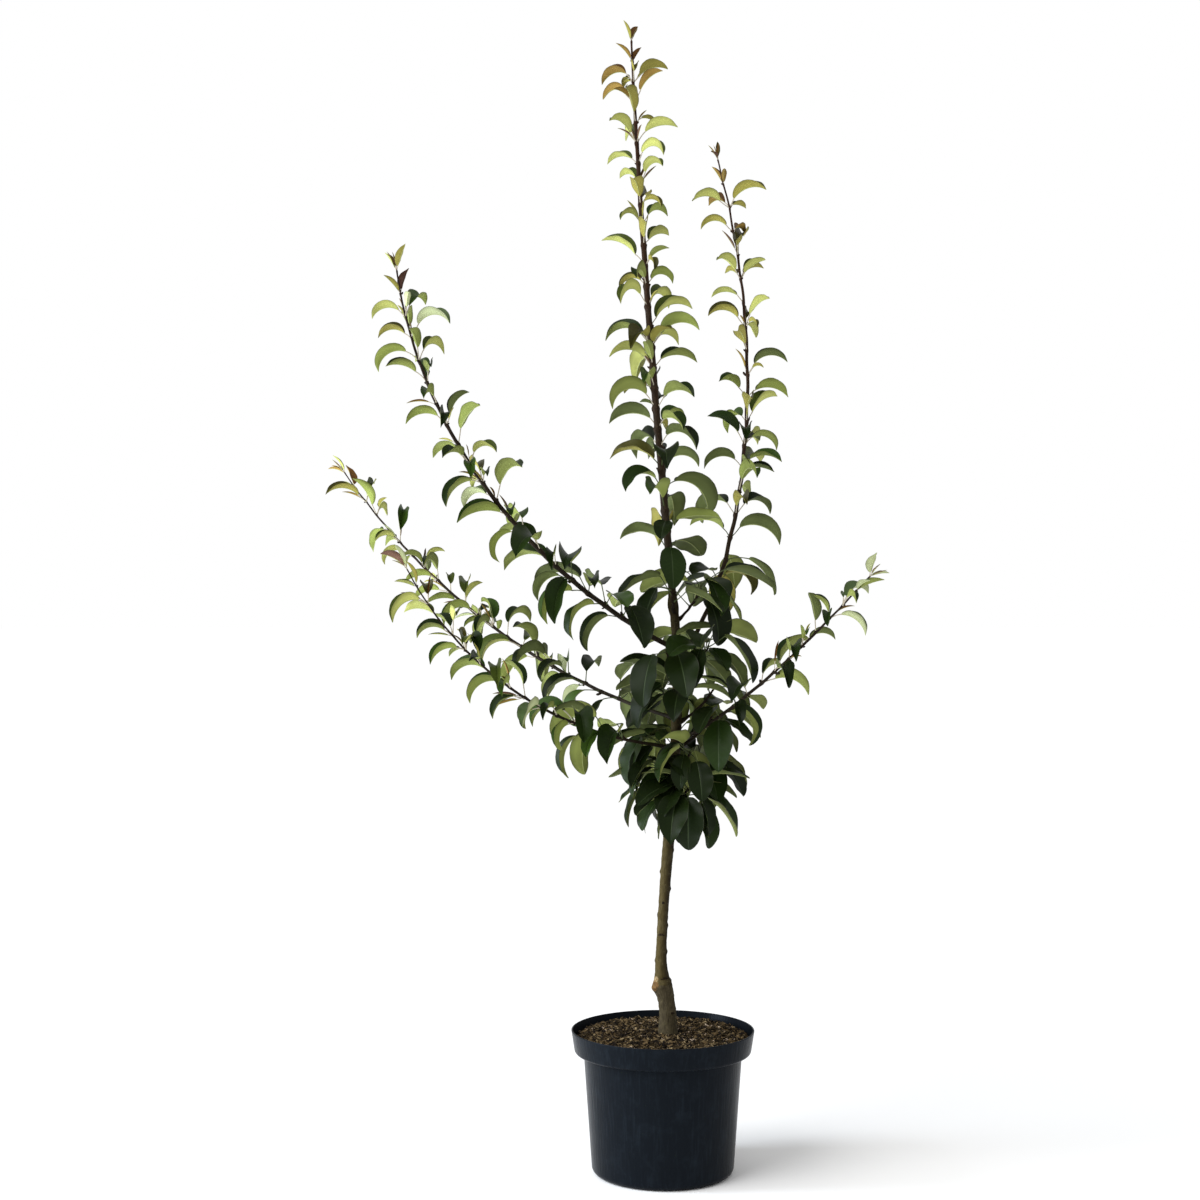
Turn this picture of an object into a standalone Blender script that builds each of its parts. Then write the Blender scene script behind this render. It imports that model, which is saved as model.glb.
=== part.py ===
"""A young pear tree, grafted on a short trunk and grown on as an open bush, in its black nursery pot.

Metres, with +Z up. The origin is the middle of the pot's flat underside, and the tree is seen from -Y.
The trunk carries six limbs and a cluster of short spurs. Each limb is a bare bough that goes on as the
stem of a mass of leaves. Each spur is a mass of its own.
"""

import math
import random
from collections import namedtuple

import bmesh
import bpy
from mathutils import Matrix, Vector
from mathutils.bvhtree import BVHTree

# Clearance between neighbouring solids, and the least air between two leaves
GAP = 0.0003
LEAF_AIR = 0.0008

# Points nearer than this are one point
SAME_POINT = 0.00001

# Materials: linear colour and roughness
PLASTIC = ((0.012, 0.018, 0.026), 0.45)
COMPOST = ((0.09, 0.055, 0.035), 0.95)
BARK = ((0.11, 0.085, 0.05), 0.8)
LEAF_GREEN = ((0.07, 0.12, 0.03), 0.5)

# Pot: one thin moulded wall, with a deep rim band that steps out from the body
POT_HEIGHT = 0.218
RIM_RADIUS = 0.140
BAND_FOOT_RADIUS = 0.1345
BAND_DEPTH = 0.035
SHOULDER_RADIUS = 0.121
FOOT_RADIUS = 0.108
FOOT_ROUNDING = 0.011
FOOT_ROUNDING_POINTS = 4
LIP_ROUNDING = 0.0015
POT_WALL = 0.0024
POT_FLOOR = 0.0030
DRAIN_COUNT = 8
DRAIN_RADIUS = 0.006
DRAIN_CIRCLE_RADIUS = 0.080
TURNED_STEPS = 32
DRAIN_SIDES = 8

# Potting soil: filled to just under the rim, a little heaped at the trunk
SOIL_BELOW_RIM = 0.007
SOIL_FLAT_RADIUS = 0.030
SOIL_SLOPE_PLACE = 0.45
SOIL_SLOPE_LEVEL = 0.35

# Trunk: height above the pot's underside, sideways place of the centre, and width
TrunkKey = namedtuple("TrunkKey", "height across width")
TRUNK = (
    TrunkKey(0.2125, 0.0080, 0.0310),
    TrunkKey(0.2250, 0.0078, 0.0275),
    TrunkKey(0.2550, 0.0065, 0.0255),
    TrunkKey(0.2850, 0.0005, 0.0270),
    TrunkKey(0.3080, -0.0020, 0.0195),
    TrunkKey(0.3400, -0.0022, 0.0165),
    TrunkKey(0.4150, 0.0018, 0.0158),
    TrunkKey(0.4900, 0.0076, 0.0172),
    TrunkKey(0.6000, 0.0160, 0.0162),
    TrunkKey(0.7000, 0.0215, 0.0155),
    TrunkKey(0.8000, 0.0215, 0.0142),
    TrunkKey(0.8890, 0.0143, 0.0124),
)
TRUNK_POINT_SPACING = 0.021
TRUNK_ROUNDING = 2

# Callus of the graft, a knob on the left of the union
CALLUS_PLACE = (-0.0085, -0.0015, 0.2850)
CALLUS_SIZE = (0.0085, 0.0095, 0.0105)
CALLUS_SIDES = 10
CALLUS_RINGS = 7

# Limbs: root height on the trunk, compass heading seen from above (0 to the right, 90 away), how far
# the heading turns, climb at the root and at the tip, how late the climb changes, length, widths,
# bare share of the length, spacing of the leaf stations, leaves at a station, and how large they are
Limb = namedtuple(
    "Limb",
    "name root compass turn climb tip_climb bend length width tip_width bare spacing rosette vigour seed",
)
LIMBS = (
    Limb("leader", 0.889, 178, 0, 84.9, 87.3, 1.8, 0.845, 0.0118, 0.0028, 0.06, 0.031, 2.8, 1.0, 434),
    Limb("right_leader", 0.786, 52, -20, 12.0, 109, 0.4, 0.848, 0.0080, 0.0026, 0.18, 0.036, 2.6, 1.0, 20),
    Limb("left_upper", 0.797, 205, -8, 26.0, 82.0, 1.2, 0.743, 0.0088, 0.0026, 0.13, 0.032, 2.4, 1.02, 485),
    Limb("left_mid", 0.693, 148, 6, 10.5, 50.7, 0.85, 0.76, 0.0066, 0.0022, 0.13, 0.032, 2.1, 0.95, 264),
    Limb("left_lower", 0.649, 212, -12, 6.4, 62.5, 1.2, 0.542, 0.0054, 0.0020, 0.16, 0.029, 2.3, 0.95, 303),
    Limb("right_lower", 0.657, -38, 12, 12.6, 46.7, 0.35, 0.414, 0.0062, 0.0022, 0.2, 0.028, 2.2, 0.9, 171),
)

# Spurs: short leafy side shoots in tiers up the trunk, longer to the right than to the left. A tier
# has the height of its first spur, how many there are, the compass heading of the first, the climb at
# their roots and tips, their length and width, and the leaves at a station
Tier = namedtuple("Tier", "height count compass climb tip_climb length width rosette")
TIERS = (
    Tier(0.560, 2, 300, 15, 50, 0.050, 0.0055, 4.0),
    Tier(0.590, 4, 30, 20, 55, 0.050, 0.0058, 4.0),
    Tier(0.628, 4, 80, 25, 60, 0.056, 0.0055, 4.0),
    Tier(0.685, 4, 10, 25, 60, 0.058, 0.0052, 3.8),
    Tier(0.745, 4, 325, 30, 65, 0.064, 0.0052, 3.6),
    Tier(0.840, 3, 20, 35, 70, 0.056, 0.0048, 3.6),
)
SPUR_TIP_WIDTH = 0.0030
SPUR_SPACING = 0.009
SPUR_BARE = 0.35
SPUR_BEND = 1.0
SPUR_VIGOUR = 1.0
SPUR_LOPSIDED = 0.42
SPUR_STAGGER = 0.006
FIRST_SPUR_SEED = 742

# How a limb is drawn: a point every so often, a slight zigzag from station to station
PATH_STEP = 0.004
ZIGZAG = 0.0010
THINNING = 2.0
BOUGH_ROUNDING = 1
STEM_ROUNDING = 0
BOUGH_SPANS = 4
COLLAR = 0.003
UP = Vector((0, 0, 1))
NEARLY_UPRIGHT = 0.05

# How leaves stand along and round a stem
FIRST_STATION = 0.008
LAST_STATION = 0.004
GOLDEN_ANGLE = 137.5
TURN_SCATTER = 14
ROSETTE_SCATTER = 20
ROSETTE_RANGE = (0.45, 1.55)
ROSETTE_AT_FOOT = 1.15
ROSETTE_AT_TIP = 0.80
LESSER_LEAF = (0.68, 1.0)
TIP_STATIONS = 2
TIP_PAIR_ANGLE = 170
OLD_WOOD = 0.10
OLD_LEAF_CHANCE = 0.6
FULLY_FOLDED = 0.6

# A mass keeps to its own space: this near its stem, and hardly nearer to another. A spur that finds
# room for fewer leaves than the fewest is left out
REACH = 0.150
NEIGHBOUR_SLACK = 0.030
STEM_STANDOFF = 1.5
FEWEST_LEAVES = 3

# Kinds of leaf, each value as its lowest and highest: angle off the stem, lift, stalk, blade length,
# half width as a share of the length, fold of each half, dip at the blade's foot, arch, roll and twist
LeafKind = namedtuple("LeafKind", "spread lift stalk length half fold dip arch roll twist")
YOUNG = LeafKind(
    spread=(14, 40),
    lift=(0, 0),
    stalk=(0.003, 0.008),
    length=(0.026, 0.044),
    half=(0.12, 0.26),
    fold=(58, 72),
    dip=(0, 8),
    arch=(5, 40),
    roll=(-20, 20),
    twist=(-15, 15),
)
SHOOT_FOOT = LeafKind(
    spread=(38, 66),
    lift=(0.25, 0.45),
    stalk=(0.021, 0.034),
    length=(0.078, 0.100),
    half=(0.25, 0.30),
    fold=(30, 52),
    dip=(4, 36),
    arch=(70, 145),
    roll=(-24, 24),
    twist=(-20, 20),
)
SHOOT_TIP = LeafKind(
    spread=(38, 66),
    lift=(0.25, 0.50),
    stalk=(0.015, 0.025),
    length=(0.046, 0.068),
    half=(0.23, 0.29),
    fold=(50, 68),
    dip=(-12, 22),
    arch=(45, 118),
    roll=(-24, 24),
    twist=(-20, 20),
)
OLD = LeafKind(
    spread=(45, 85),
    lift=(0, 0.4),
    stalk=(0.024, 0.044),
    length=(0.072, 0.092),
    half=(0.28, 0.33),
    fold=(12, 34),
    dip=(30, 65),
    arch=(25, 60),
    roll=(-20, 20),
    twist=(-12, 12),
)

# The blade's outline, where along its length it has a cross-section, and its thickness
WIDEST_PLACE = 0.85
OUTLINE_FULLNESS = 0.8
BLADE_STATIONS = (0.30, 0.68)
SMALL_LEAF = 0.053
SMALL_LEAF_STATIONS = (0.45,)
STALK_RADIUS = 0.0007
STALK_CORNERS = 6
BLADE_THICKNESS_SHARE = 1 / 80
STEEPEST_FOLD = math.radians(65)

Leaf = namedtuple("Leaf", "root heading stalk length half fold climb arch roll twist")
Solid = namedtuple("Solid", "limb corners faces middle blade whole")


def clear_scene():
    for obj in list(bpy.data.objects):
        bpy.data.objects.remove(obj, do_unlink=True)


def new_collection(name):
    collection = bpy.data.collections.new(name)
    bpy.context.scene.collection.children.link(collection)
    return collection


def new_material(name, colour, roughness):
    material = bpy.data.materials.new(name)
    material.use_nodes = True
    shader = material.node_tree.nodes["Principled BSDF"]
    shader.inputs["Base Color"].default_value = (*colour, 1)
    shader.inputs["Roughness"].default_value = roughness
    return material


def mesh_object(name, bm, collection, material=None):
    mesh = bpy.data.meshes.new(name)
    bm.to_mesh(mesh)
    bm.free()
    obj = bpy.data.objects.new(name, mesh)
    collection.objects.link(obj)
    if material:
        mesh.materials.append(material)
    return obj


def make_helper(obj):
    obj.hide_render = True
    obj.display_type = "WIRE"


def turned(name, profile, collection, material):
    """A profile of (radius, height) pairs, from the axis out and down to the axis, turned about Z."""
    bm = bmesh.new()
    points = [bm.verts.new((radius, 0, height)) for radius, height in profile]
    for first, second in zip(points, points[1:]):
        bm.edges.new((first, second))
    obj = mesh_object(name, bm, collection, material)
    screw = obj.modifiers.new("Turn", "SCREW")
    screw.axis = "Z"
    screw.steps = TURNED_STEPS
    screw.render_steps = TURNED_STEPS
    screw.use_merge_vertices = True
    screw.merge_threshold = SAME_POINT
    screw.use_smooth_shade = True
    return obj


def tube(name, points, widths, rounding, collection, material):
    """A tapering round bar through the points, as a closed mesh."""
    curve = bpy.data.curves.new(name, "CURVE")
    curve.dimensions = "3D"
    curve.bevel_depth = 1.0
    curve.bevel_resolution = rounding
    curve.use_fill_caps = True
    spline = curve.splines.new("POLY")
    spline.points.add(len(points) - 1)
    for knot, point, width in zip(spline.points, points, widths):
        knot.co = (*point, 1)
        knot.radius = width / 2
    guide = bpy.data.objects.new(name + "_guide", curve)
    collection.objects.link(guide)
    bpy.context.view_layer.update()
    graph = bpy.context.evaluated_depsgraph_get()
    mesh = bpy.data.meshes.new_from_object(guide.evaluated_get(graph))
    bpy.data.objects.remove(guide, do_unlink=True)
    bm = bmesh.new()
    bm.from_mesh(mesh)
    bmesh.ops.remove_doubles(bm, verts=bm.verts, dist=SAME_POINT)
    bmesh.ops.triangulate(bm, faces=bm.faces)
    bmesh.ops.recalc_face_normals(bm, faces=bm.faces)
    bpy.data.meshes.remove(mesh)
    obj = mesh_object(name, bm, collection, material)
    obj.data.shade_smooth()
    return obj


def mix(first, second, share):
    return first + (second - first) * share


def smoothed(keys, height):
    """The trunk's centre and width at a height, on a smooth curve through its keys."""
    for index in range(len(keys) - 1):
        if height <= keys[index + 1].height:
            break
    low, high = keys[index], keys[index + 1]
    before = keys[max(index - 1, 0)]
    after = keys[min(index + 2, len(keys) - 1)]
    span = high.height - low.height
    t = min(max((height - low.height) / span, 0), 1)
    values = []
    for field in ("across", "width"):
        a, b = getattr(low, field), getattr(high, field)
        slope_a = (b - getattr(before, field)) / (high.height - before.height) * span
        slope_b = (getattr(after, field) - a) / (after.height - low.height) * span
        values.append(
            a * (2 * t**3 - 3 * t**2 + 1)
            + slope_a * (t**3 - 2 * t**2 + t)
            + b * (3 * t**2 - 2 * t**3)
            + slope_b * (t**3 - t**2)
        )
    return Vector((values[0], 0, height)), values[1]


def trunk_line(extra_width=0.0):
    """Centre points and widths up the trunk, from the cut at the soil to the fork of the leader."""
    foot, top = TRUNK[0].height, TRUNK[-1].height
    count = round((top - foot) / TRUNK_POINT_SPACING)
    points, widths = [], []
    for step in range(count + 1):
        centre, width = smoothed(TRUNK, mix(foot, top, step / count))
        points.append(centre)
        widths.append(width + extra_width)
    return points, widths


def limb_line(limb):
    """Points along a limb's centre, PATH_STEP apart, from the trunk's centre to the limb's tip."""
    point, _ = smoothed(TRUNK, limb.root)
    count = round(limb.length / PATH_STEP)
    points = [point]
    for step in range(count):
        share = (step + 0.5) / count
        climb = math.radians(mix(limb.climb, limb.tip_climb, share**limb.bend))
        compass = math.radians(limb.compass + limb.turn * share)
        level = Vector((math.cos(compass), math.sin(compass), 0))
        side = Vector((-math.sin(compass), math.cos(compass), 0))
        along = level * math.cos(climb) + Vector((0, 0, math.sin(climb)))
        swing = math.cos(math.pi * (step + 0.5) * PATH_STEP / limb.spacing)
        sway = side * swing * ZIGZAG * math.pi / limb.spacing
        point = point + (along + sway) * (limb.length / count)
        points.append(point)
    return points


def at_distance(points, distance):
    """Point and direction at a distance along a line of evenly spaced points."""
    place = min(max(distance / PATH_STEP, 0), len(points) - 1)
    index = min(int(place), len(points) - 2)
    along = points[index + 1] - points[index]
    return points[index] + along * (place - index), along.normalized()


def limb_width(limb, distance):
    share = distance / limb.length
    return mix(limb.width, limb.tip_width, min(share, 1) ** THINNING)


def leaf_stations(limb):
    """Distances along a limb at which its leaves stand."""
    bare = limb.bare or SPUR_BARE
    start = limb.length * bare + FIRST_STATION
    end = limb.length - LAST_STATION
    count = max(int((end - start) / limb.spacing), 1)
    return [mix(start, end, station / count) for station in range(count + 1)]


def limb_piece(limb, distances):
    """Points and widths of a limb at some distances along it."""
    line = limb_line(limb)
    points = [at_distance(line, distance)[0] for distance in distances]
    return points, [limb_width(limb, distance) for distance in distances]


def trunk_spurs():
    """The short limbs of the tiers, each with its own number and seed."""
    spurs = []
    for tier in TIERS:
        for place in range(tier.count):
            number = len(spurs) + 1
            compass = tier.compass + 360 * place / tier.count
            spurs.append(
                Limb(
                    name=f"spur_{number:02d}",
                    root=tier.height + SPUR_STAGGER * place,
                    compass=compass,
                    turn=0,
                    climb=tier.climb,
                    tip_climb=tier.tip_climb,
                    bend=SPUR_BEND,
                    length=tier.length * (1 + SPUR_LOPSIDED * math.cos(math.radians(compass))),
                    width=tier.width,
                    tip_width=SPUR_TIP_WIDTH,
                    bare=0,
                    spacing=SPUR_SPACING,
                    rosette=tier.rosette,
                    vigour=SPUR_VIGOUR,
                    seed=FIRST_SPUR_SEED + number,
                )
            )
    return spurs


def half_width_share(share):
    """Half the blade's width along its midrib, as a share of its widest: egg-shaped, pointed at the tip."""
    return max(math.sin(math.pi * share**WIDEST_PLACE), 0) ** OUTLINE_FULLNESS


def level_heading(leaf):
    return Vector((leaf.heading.x, leaf.heading.y, 0)).normalized()


def side_and_upper(leaf, climb, roll):
    """Side direction and upper side of a leaf where it climbs at an angle, rolled about its own length."""
    level = level_heading(leaf)
    along = level * math.cos(climb) + UP * math.sin(climb)
    upper = UP * math.cos(climb) - level * math.sin(climb)
    turn = Matrix.Rotation(math.radians(roll), 3, along)
    return turn @ along.cross(upper), turn @ upper


def blade_frame(leaf, share):
    """Midrib point, side direction and upper side of a blade at a share of its length."""
    start = math.radians(leaf.climb)
    bend = math.radians(leaf.arch)
    climb = start - bend * share
    reach = (math.sin(start) - math.sin(climb)) / bend
    rise = (math.cos(climb) - math.cos(start)) / bend
    foot = leaf.root + leaf.heading * leaf.stalk
    point = foot + (level_heading(leaf) * reach + UP * rise) * leaf.length
    return point, *side_and_upper(leaf, climb, leaf.roll + leaf.twist * share)


def stalk_ring(point, side, upper):
    """Three corners round a leaf's stalk: one edge, the upper side, the other edge."""
    return [
        point + (side - upper / 2) * STALK_RADIUS,
        point + upper * STALK_RADIUS,
        point - (side + upper / 2) * STALK_RADIUS,
    ]


def blade_section(leaf, share):
    """Four corners of the folded blade: one edge, the midrib above, the other edge, the midrib below."""
    point, side, upper = blade_frame(leaf, share)
    fold = math.radians(leaf.fold)
    half = leaf.half * half_width_share(share)
    lift = upper * math.sin(fold) * half
    across = side * math.cos(fold) * half
    rib = upper * leaf.length * BLADE_THICKNESS_SHARE / 2 / math.cos(min(fold, STEEPEST_FOLD))
    return [point + across + lift, point + rib, point - across + lift, point - rib]


def leaf_shape(leaf):
    """Corners and faces of a leaf: a slim stalk, then a folded and arched blade that ends in a point."""
    corners = stalk_ring(leaf.root, *side_and_upper(leaf, math.asin(leaf.heading.z), leaf.roll))
    corners += stalk_ring(*blade_frame(leaf, 0))
    faces = [(0, 1, 2), (0, 1, 4), (0, 4, 3), (1, 2, 5), (1, 5, 4), (2, 0, 3), (2, 3, 5)]
    # The stalk's three corners open into the four of the blade's first section
    faces += [(3, 4, 7), (3, 7, 6), (4, 5, 7), (5, 8, 7), (5, 9, 8), (5, 3, 9), (3, 6, 9)]
    shares = SMALL_LEAF_STATIONS if leaf.length < SMALL_LEAF else BLADE_STATIONS
    for share in shares:
        corners += blade_section(leaf, share)
    first = STALK_CORNERS
    for _ in shares[1:]:
        for corner in range(4):
            a, b = first + corner, first + (corner + 1) % 4
            # Both sides of each half are split from edge to midrib, so that they never cross
            if corner % 2 == 0:
                faces += [(a, b, b + 4), (a, b + 4, a + 4)]
            else:
                faces += [(a, b, a + 4), (b, b + 4, a + 4)]
        first += 4
    corners.append(blade_frame(leaf, 1)[0])
    faces += [(first + corner, first + (corner + 1) % 4, first + 4) for corner in range(4)]
    return corners, faces


def blend_kinds(first, second, share):
    """A kind of leaf between two others."""
    pairs = zip(first, second)
    return LeafKind(*((mix(a[0], b[0], share), mix(a[1], b[1], share)) for a, b in pairs))


def new_leaf(rng, kind, root, along, outward, size):
    """One leaf of a kind, rising from its root between the stem's direction and the outward one."""
    drawn = LeafKind(*(rng.uniform(low, high) for low, high in kind))
    spread = math.radians(drawn.spread)
    heading = (along * math.cos(spread) + outward * math.sin(spread) + UP * drawn.lift).normalized()
    length = size * drawn.length
    return Leaf(
        root=root,
        heading=heading,
        stalk=size * drawn.stalk,
        length=length,
        half=length * drawn.half,
        fold=drawn.fold,
        climb=math.degrees(math.asin(heading.z)) - drawn.dip,
        arch=drawn.arch,
        roll=drawn.roll,
        twist=drawn.twist,
    )


def outward_at(along, angle):
    """A direction square to a stem, at an angle round it."""
    side = along.cross(UP)
    if side.length < NEARLY_UPRIGHT:
        side = Vector((1, 0, 0))
    side.normalize()
    return Matrix.Rotation(math.radians(angle), 3, along) @ side


def grown_leaves(limb):
    """Every leaf that a limb would carry, station by station, from its first leaves to its tip."""
    rng = random.Random(limb.seed)
    line = limb_line(limb)
    stations = leaf_stations(limb)
    turn = rng.uniform(0, 360)
    leaves = []
    for number, distance in enumerate(stations):
        share = number / (len(stations) - 1)
        root, along = at_distance(line, distance)
        turn += GOLDEN_ANGLE + rng.uniform(-TURN_SCATTER, TURN_SCATTER)
        if limb.bare and number >= len(stations) - TIP_STATIONS:
            for angle in (turn, turn + TIP_PAIR_ANGLE):
                leaves.append(new_leaf(rng, YOUNG, root, along, outward_at(along, angle), 1))
            continue
        wanted = limb.rosette * rng.uniform(*ROSETTE_RANGE)
        if limb.bare:
            wanted *= mix(ROSETTE_AT_FOOT, ROSETTE_AT_TIP, share)
        count = max(round(wanted), 1)
        for extra in range(count):
            scatter = rng.uniform(-ROSETTE_SCATTER, ROSETTE_SCATTER)
            outward = outward_at(along, turn + 360 * extra / count + scatter)
            size = limb.vigour * (1 if extra == 0 else rng.uniform(*LESSER_LEAF))
            if not limb.bare or (share < OLD_WOOD and rng.random() < OLD_LEAF_CHANCE):
                kind = OLD
            else:
                kind = blend_kinds(SHOOT_FOOT, SHOOT_TIP, min(share / FULLY_FOLDED, 1))
            leaves.append(new_leaf(rng, kind, root, along, outward, size))
    return leaves


def stem_tree(points, widths):
    """A square bar a little thicker than a stem, for telling what touches it."""
    corners, faces = [], []
    for index, (point, width) in enumerate(zip(points, widths)):
        along = points[min(index + 1, len(points) - 1)] - points[max(index - 1, 0)]
        along.normalize()
        for quarter in range(4):
            corners.append(point + outward_at(along, 90 * quarter) * width / 2 * STEM_STANDOFF)
        if index:
            last = index * 4
            for corner in range(4):
                following = (corner + 1) % 4
                faces.append((last - 4 + corner, last - 4 + following, last + following, last + corner))
    return BVHTree.FromPolygons(corners, faces)


def leaf_solid(limb, leaf):
    """A leaf's shape, with search trees of its blade and of the whole of it."""
    corners, faces = leaf_shape(leaf)
    blade = BVHTree.FromPolygons(corners, [face for face in faces if min(face) >= STALK_CORNERS])
    whole = BVHTree.FromPolygons(corners, faces)
    return Solid(limb.name, corners, faces, blade_frame(leaf, 0.5)[0], blade, whole)


def in_own_space(solid, stems):
    own = stems[solid.limb].find_nearest(solid.middle)[3]
    others = [stems[name].find_nearest(solid.middle, REACH)[3] for name in stems if name != solid.limb]
    nearest = min([distance for distance in others if distance is not None], default=REACH)
    return own < REACH and own < nearest + NEIGHBOUR_SLACK


def touches_wood(solid, stems, trunk):
    if solid.blade.overlap(stems[solid.limb]) or solid.whole.overlap(trunk):
        return True
    return any(solid.whole.overlap(stems[name]) for name in stems if name != solid.limb)


def touches_leaf(solid, other):
    """Whether two leaves meet or come too near. Leaves of one limb may share a foot, but not a blade."""
    if (other.middle - solid.middle).length > REACH:
        return False
    if other.limb == solid.limb:
        own_tree, other_tree, first = solid.blade, other.blade, STALK_CORNERS
    else:
        own_tree, other_tree, first = solid.whole, other.whole, 0
    if own_tree.overlap(other_tree):
        return True
    if any(other_tree.find_nearest(corner, LEAF_AIR)[0] for corner in solid.corners[first:]):
        return True
    return any(own_tree.find_nearest(corner, LEAF_AIR)[0] for corner in other.corners[first:])


def kept_leaves(limbs):
    """The leaves of each limb that keep to their own space and touch neither a limb nor another leaf."""
    stems = {}
    for limb in limbs:
        line = limb_line(limb)
        widths = [limb_width(limb, PATH_STEP * number) for number in range(len(line))]
        stems[limb.name] = stem_tree(line, widths)
    trunk = stem_tree(*trunk_line())
    kept = []
    for limb in limbs:
        for leaf in grown_leaves(limb):
            solid = leaf_solid(limb, leaf)
            if not in_own_space(solid, stems) or touches_wood(solid, stems, trunk):
                continue
            if not any(touches_leaf(solid, other) for other in kept):
                kept.append(solid)
    return kept


def fuse(base, pieces, name):
    """Joins a collection of closed pieces to a base by one union, and removes them."""
    union = base.modifiers.new("Fuse", "BOOLEAN")
    union.operation = "UNION"
    union.operand_type = "COLLECTION"
    union.collection = pieces
    union.solver = "EXACT"
    bpy.context.view_layer.update()
    graph = bpy.context.evaluated_depsgraph_get()
    mesh = bpy.data.meshes.new_from_object(base.evaluated_get(graph))
    mesh.name = name
    base.modifiers.clear()
    old = base.data
    base.data = mesh
    bpy.data.meshes.remove(old)
    for piece in list(pieces.objects):
        bpy.data.objects.remove(piece, do_unlink=True)
    bpy.data.collections.remove(pieces)


def cut_clear_of_trunk(obj, clearance):
    cut = obj.modifiers.new("Clear of trunk", "BOOLEAN")
    cut.operation = "DIFFERENCE"
    cut.solver = "EXACT"
    cut.object = clearance


def pot_profile():
    """From the inner floor's middle up the inside, over the lip, down the outside to the foot's middle."""
    band_foot = POT_HEIGHT - BAND_DEPTH
    inner_rim = RIM_RADIUS - POT_WALL
    profile = [
        (0, POT_FLOOR),
        (FOOT_RADIUS - FOOT_ROUNDING, POT_FLOOR),
        (FOOT_RADIUS - POT_WALL, FOOT_ROUNDING),
        (SHOULDER_RADIUS - POT_WALL, band_foot + POT_WALL),
        (BAND_FOOT_RADIUS - POT_WALL, band_foot + POT_WALL),
        (inner_rim, POT_HEIGHT - LIP_ROUNDING),
        (inner_rim + LIP_ROUNDING / 2, POT_HEIGHT),
        (RIM_RADIUS - LIP_ROUNDING / 2, POT_HEIGHT),
        (RIM_RADIUS, POT_HEIGHT - LIP_ROUNDING),
        (BAND_FOOT_RADIUS, band_foot),
        (SHOULDER_RADIUS, band_foot),
    ]
    for step in range(FOOT_ROUNDING_POINTS + 1):
        angle = math.radians(90 * step / FOOT_ROUNDING_POINTS)
        out = FOOT_RADIUS - FOOT_ROUNDING * (1 - math.cos(angle))
        profile.append((out, FOOT_ROUNDING * (1 - math.sin(angle))))
    profile.append((0, 0))
    return profile


def make_pot(parts, cutters):
    plastic = new_material("pot_plastic", *PLASTIC)
    pot = turned("pot", pot_profile(), parts, plastic)
    bm = bmesh.new()
    for hole in range(DRAIN_COUNT):
        place = Matrix.Rotation(2 * math.pi * hole / DRAIN_COUNT, 4, "Z") @ Matrix.Translation(
            (DRAIN_CIRCLE_RADIUS, 0, POT_FLOOR / 2)
        )
        bmesh.ops.create_cone(
            bm,
            cap_ends=True,
            segments=DRAIN_SIDES,
            radius1=DRAIN_RADIUS,
            radius2=DRAIN_RADIUS,
            depth=POT_FLOOR * 3,
            matrix=place,
        )
    holes = mesh_object("drain_holes", bm, cutters)
    make_helper(holes)
    drill = pot.modifiers.new("Drain", "BOOLEAN")
    drill.operation = "DIFFERENCE"
    drill.solver = "EXACT"
    drill.object = holes


def make_soil(parts):
    """Fills the pot from its floor to just under the rim, clear of the wall all round."""
    compost = new_material("potting_soil", *COMPOST)
    band_foot = POT_HEIGHT - BAND_DEPTH
    level = POT_HEIGHT - SOIL_BELOW_RIM
    rise = (level - band_foot) / BAND_DEPTH
    level_radius = mix(BAND_FOOT_RADIUS, RIM_RADIUS, rise) - POT_WALL - 2 * GAP
    foot = POT_FLOOR + GAP
    body = SHOULDER_RADIUS - POT_WALL - 2 * GAP
    heap = TRUNK[0].height - GAP
    profile = [
        (0, heap),
        (SOIL_FLAT_RADIUS, heap),
        (mix(SOIL_FLAT_RADIUS, level_radius, SOIL_SLOPE_PLACE), mix(level, heap, SOIL_SLOPE_LEVEL)),
        (level_radius, level),
        (BAND_FOOT_RADIUS - POT_WALL - 2 * GAP, band_foot + POT_WALL + GAP),
        (body, band_foot + POT_WALL + GAP),
        (FOOT_RADIUS - POT_WALL - 2 * GAP, FOOT_ROUNDING + GAP),
        (FOOT_RADIUS - FOOT_ROUNDING - 2 * GAP, foot),
        (0, foot),
    ]
    turned("soil", profile, parts, compost)


def make_trunk(parts, cutters, bark):
    """The trunk with the knob of its graft, and the fattened copy that clears the limbs' roots."""
    trunk = tube("trunk", *trunk_line(), TRUNK_ROUNDING, parts, bark)
    knobs = new_collection("graft_pieces")
    bm = bmesh.new()
    place = Matrix.Translation(CALLUS_PLACE) @ Matrix.Diagonal((*CALLUS_SIZE, 1))
    bmesh.ops.create_uvsphere(bm, u_segments=CALLUS_SIDES, v_segments=CALLUS_RINGS, radius=1, matrix=place)
    mesh_object("callus", bm, knobs, bark)
    fuse(trunk, knobs, "trunk")
    clearance = tube("trunk_clearance", *trunk_line(2 * GAP), TRUNK_ROUNDING, cutters, None)
    make_helper(clearance)
    return clearance


def make_bough(limb, parts, bark, clearance):
    """The bare foot of a limb, from the trunk to where its leaves begin."""
    start = 2 * GAP if limb.name == "leader" else 0
    end = limb.length * limb.bare
    distances = [mix(start, end - COLLAR, step / BOUGH_SPANS) for step in range(BOUGH_SPANS + 1)]
    distances.append(end)
    bough = tube(f"bough_{limb.name}", *limb_piece(limb, distances), BOUGH_ROUNDING, parts, bark)
    if limb.name != "leader":
        cut_clear_of_trunk(bough, clearance)


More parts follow.
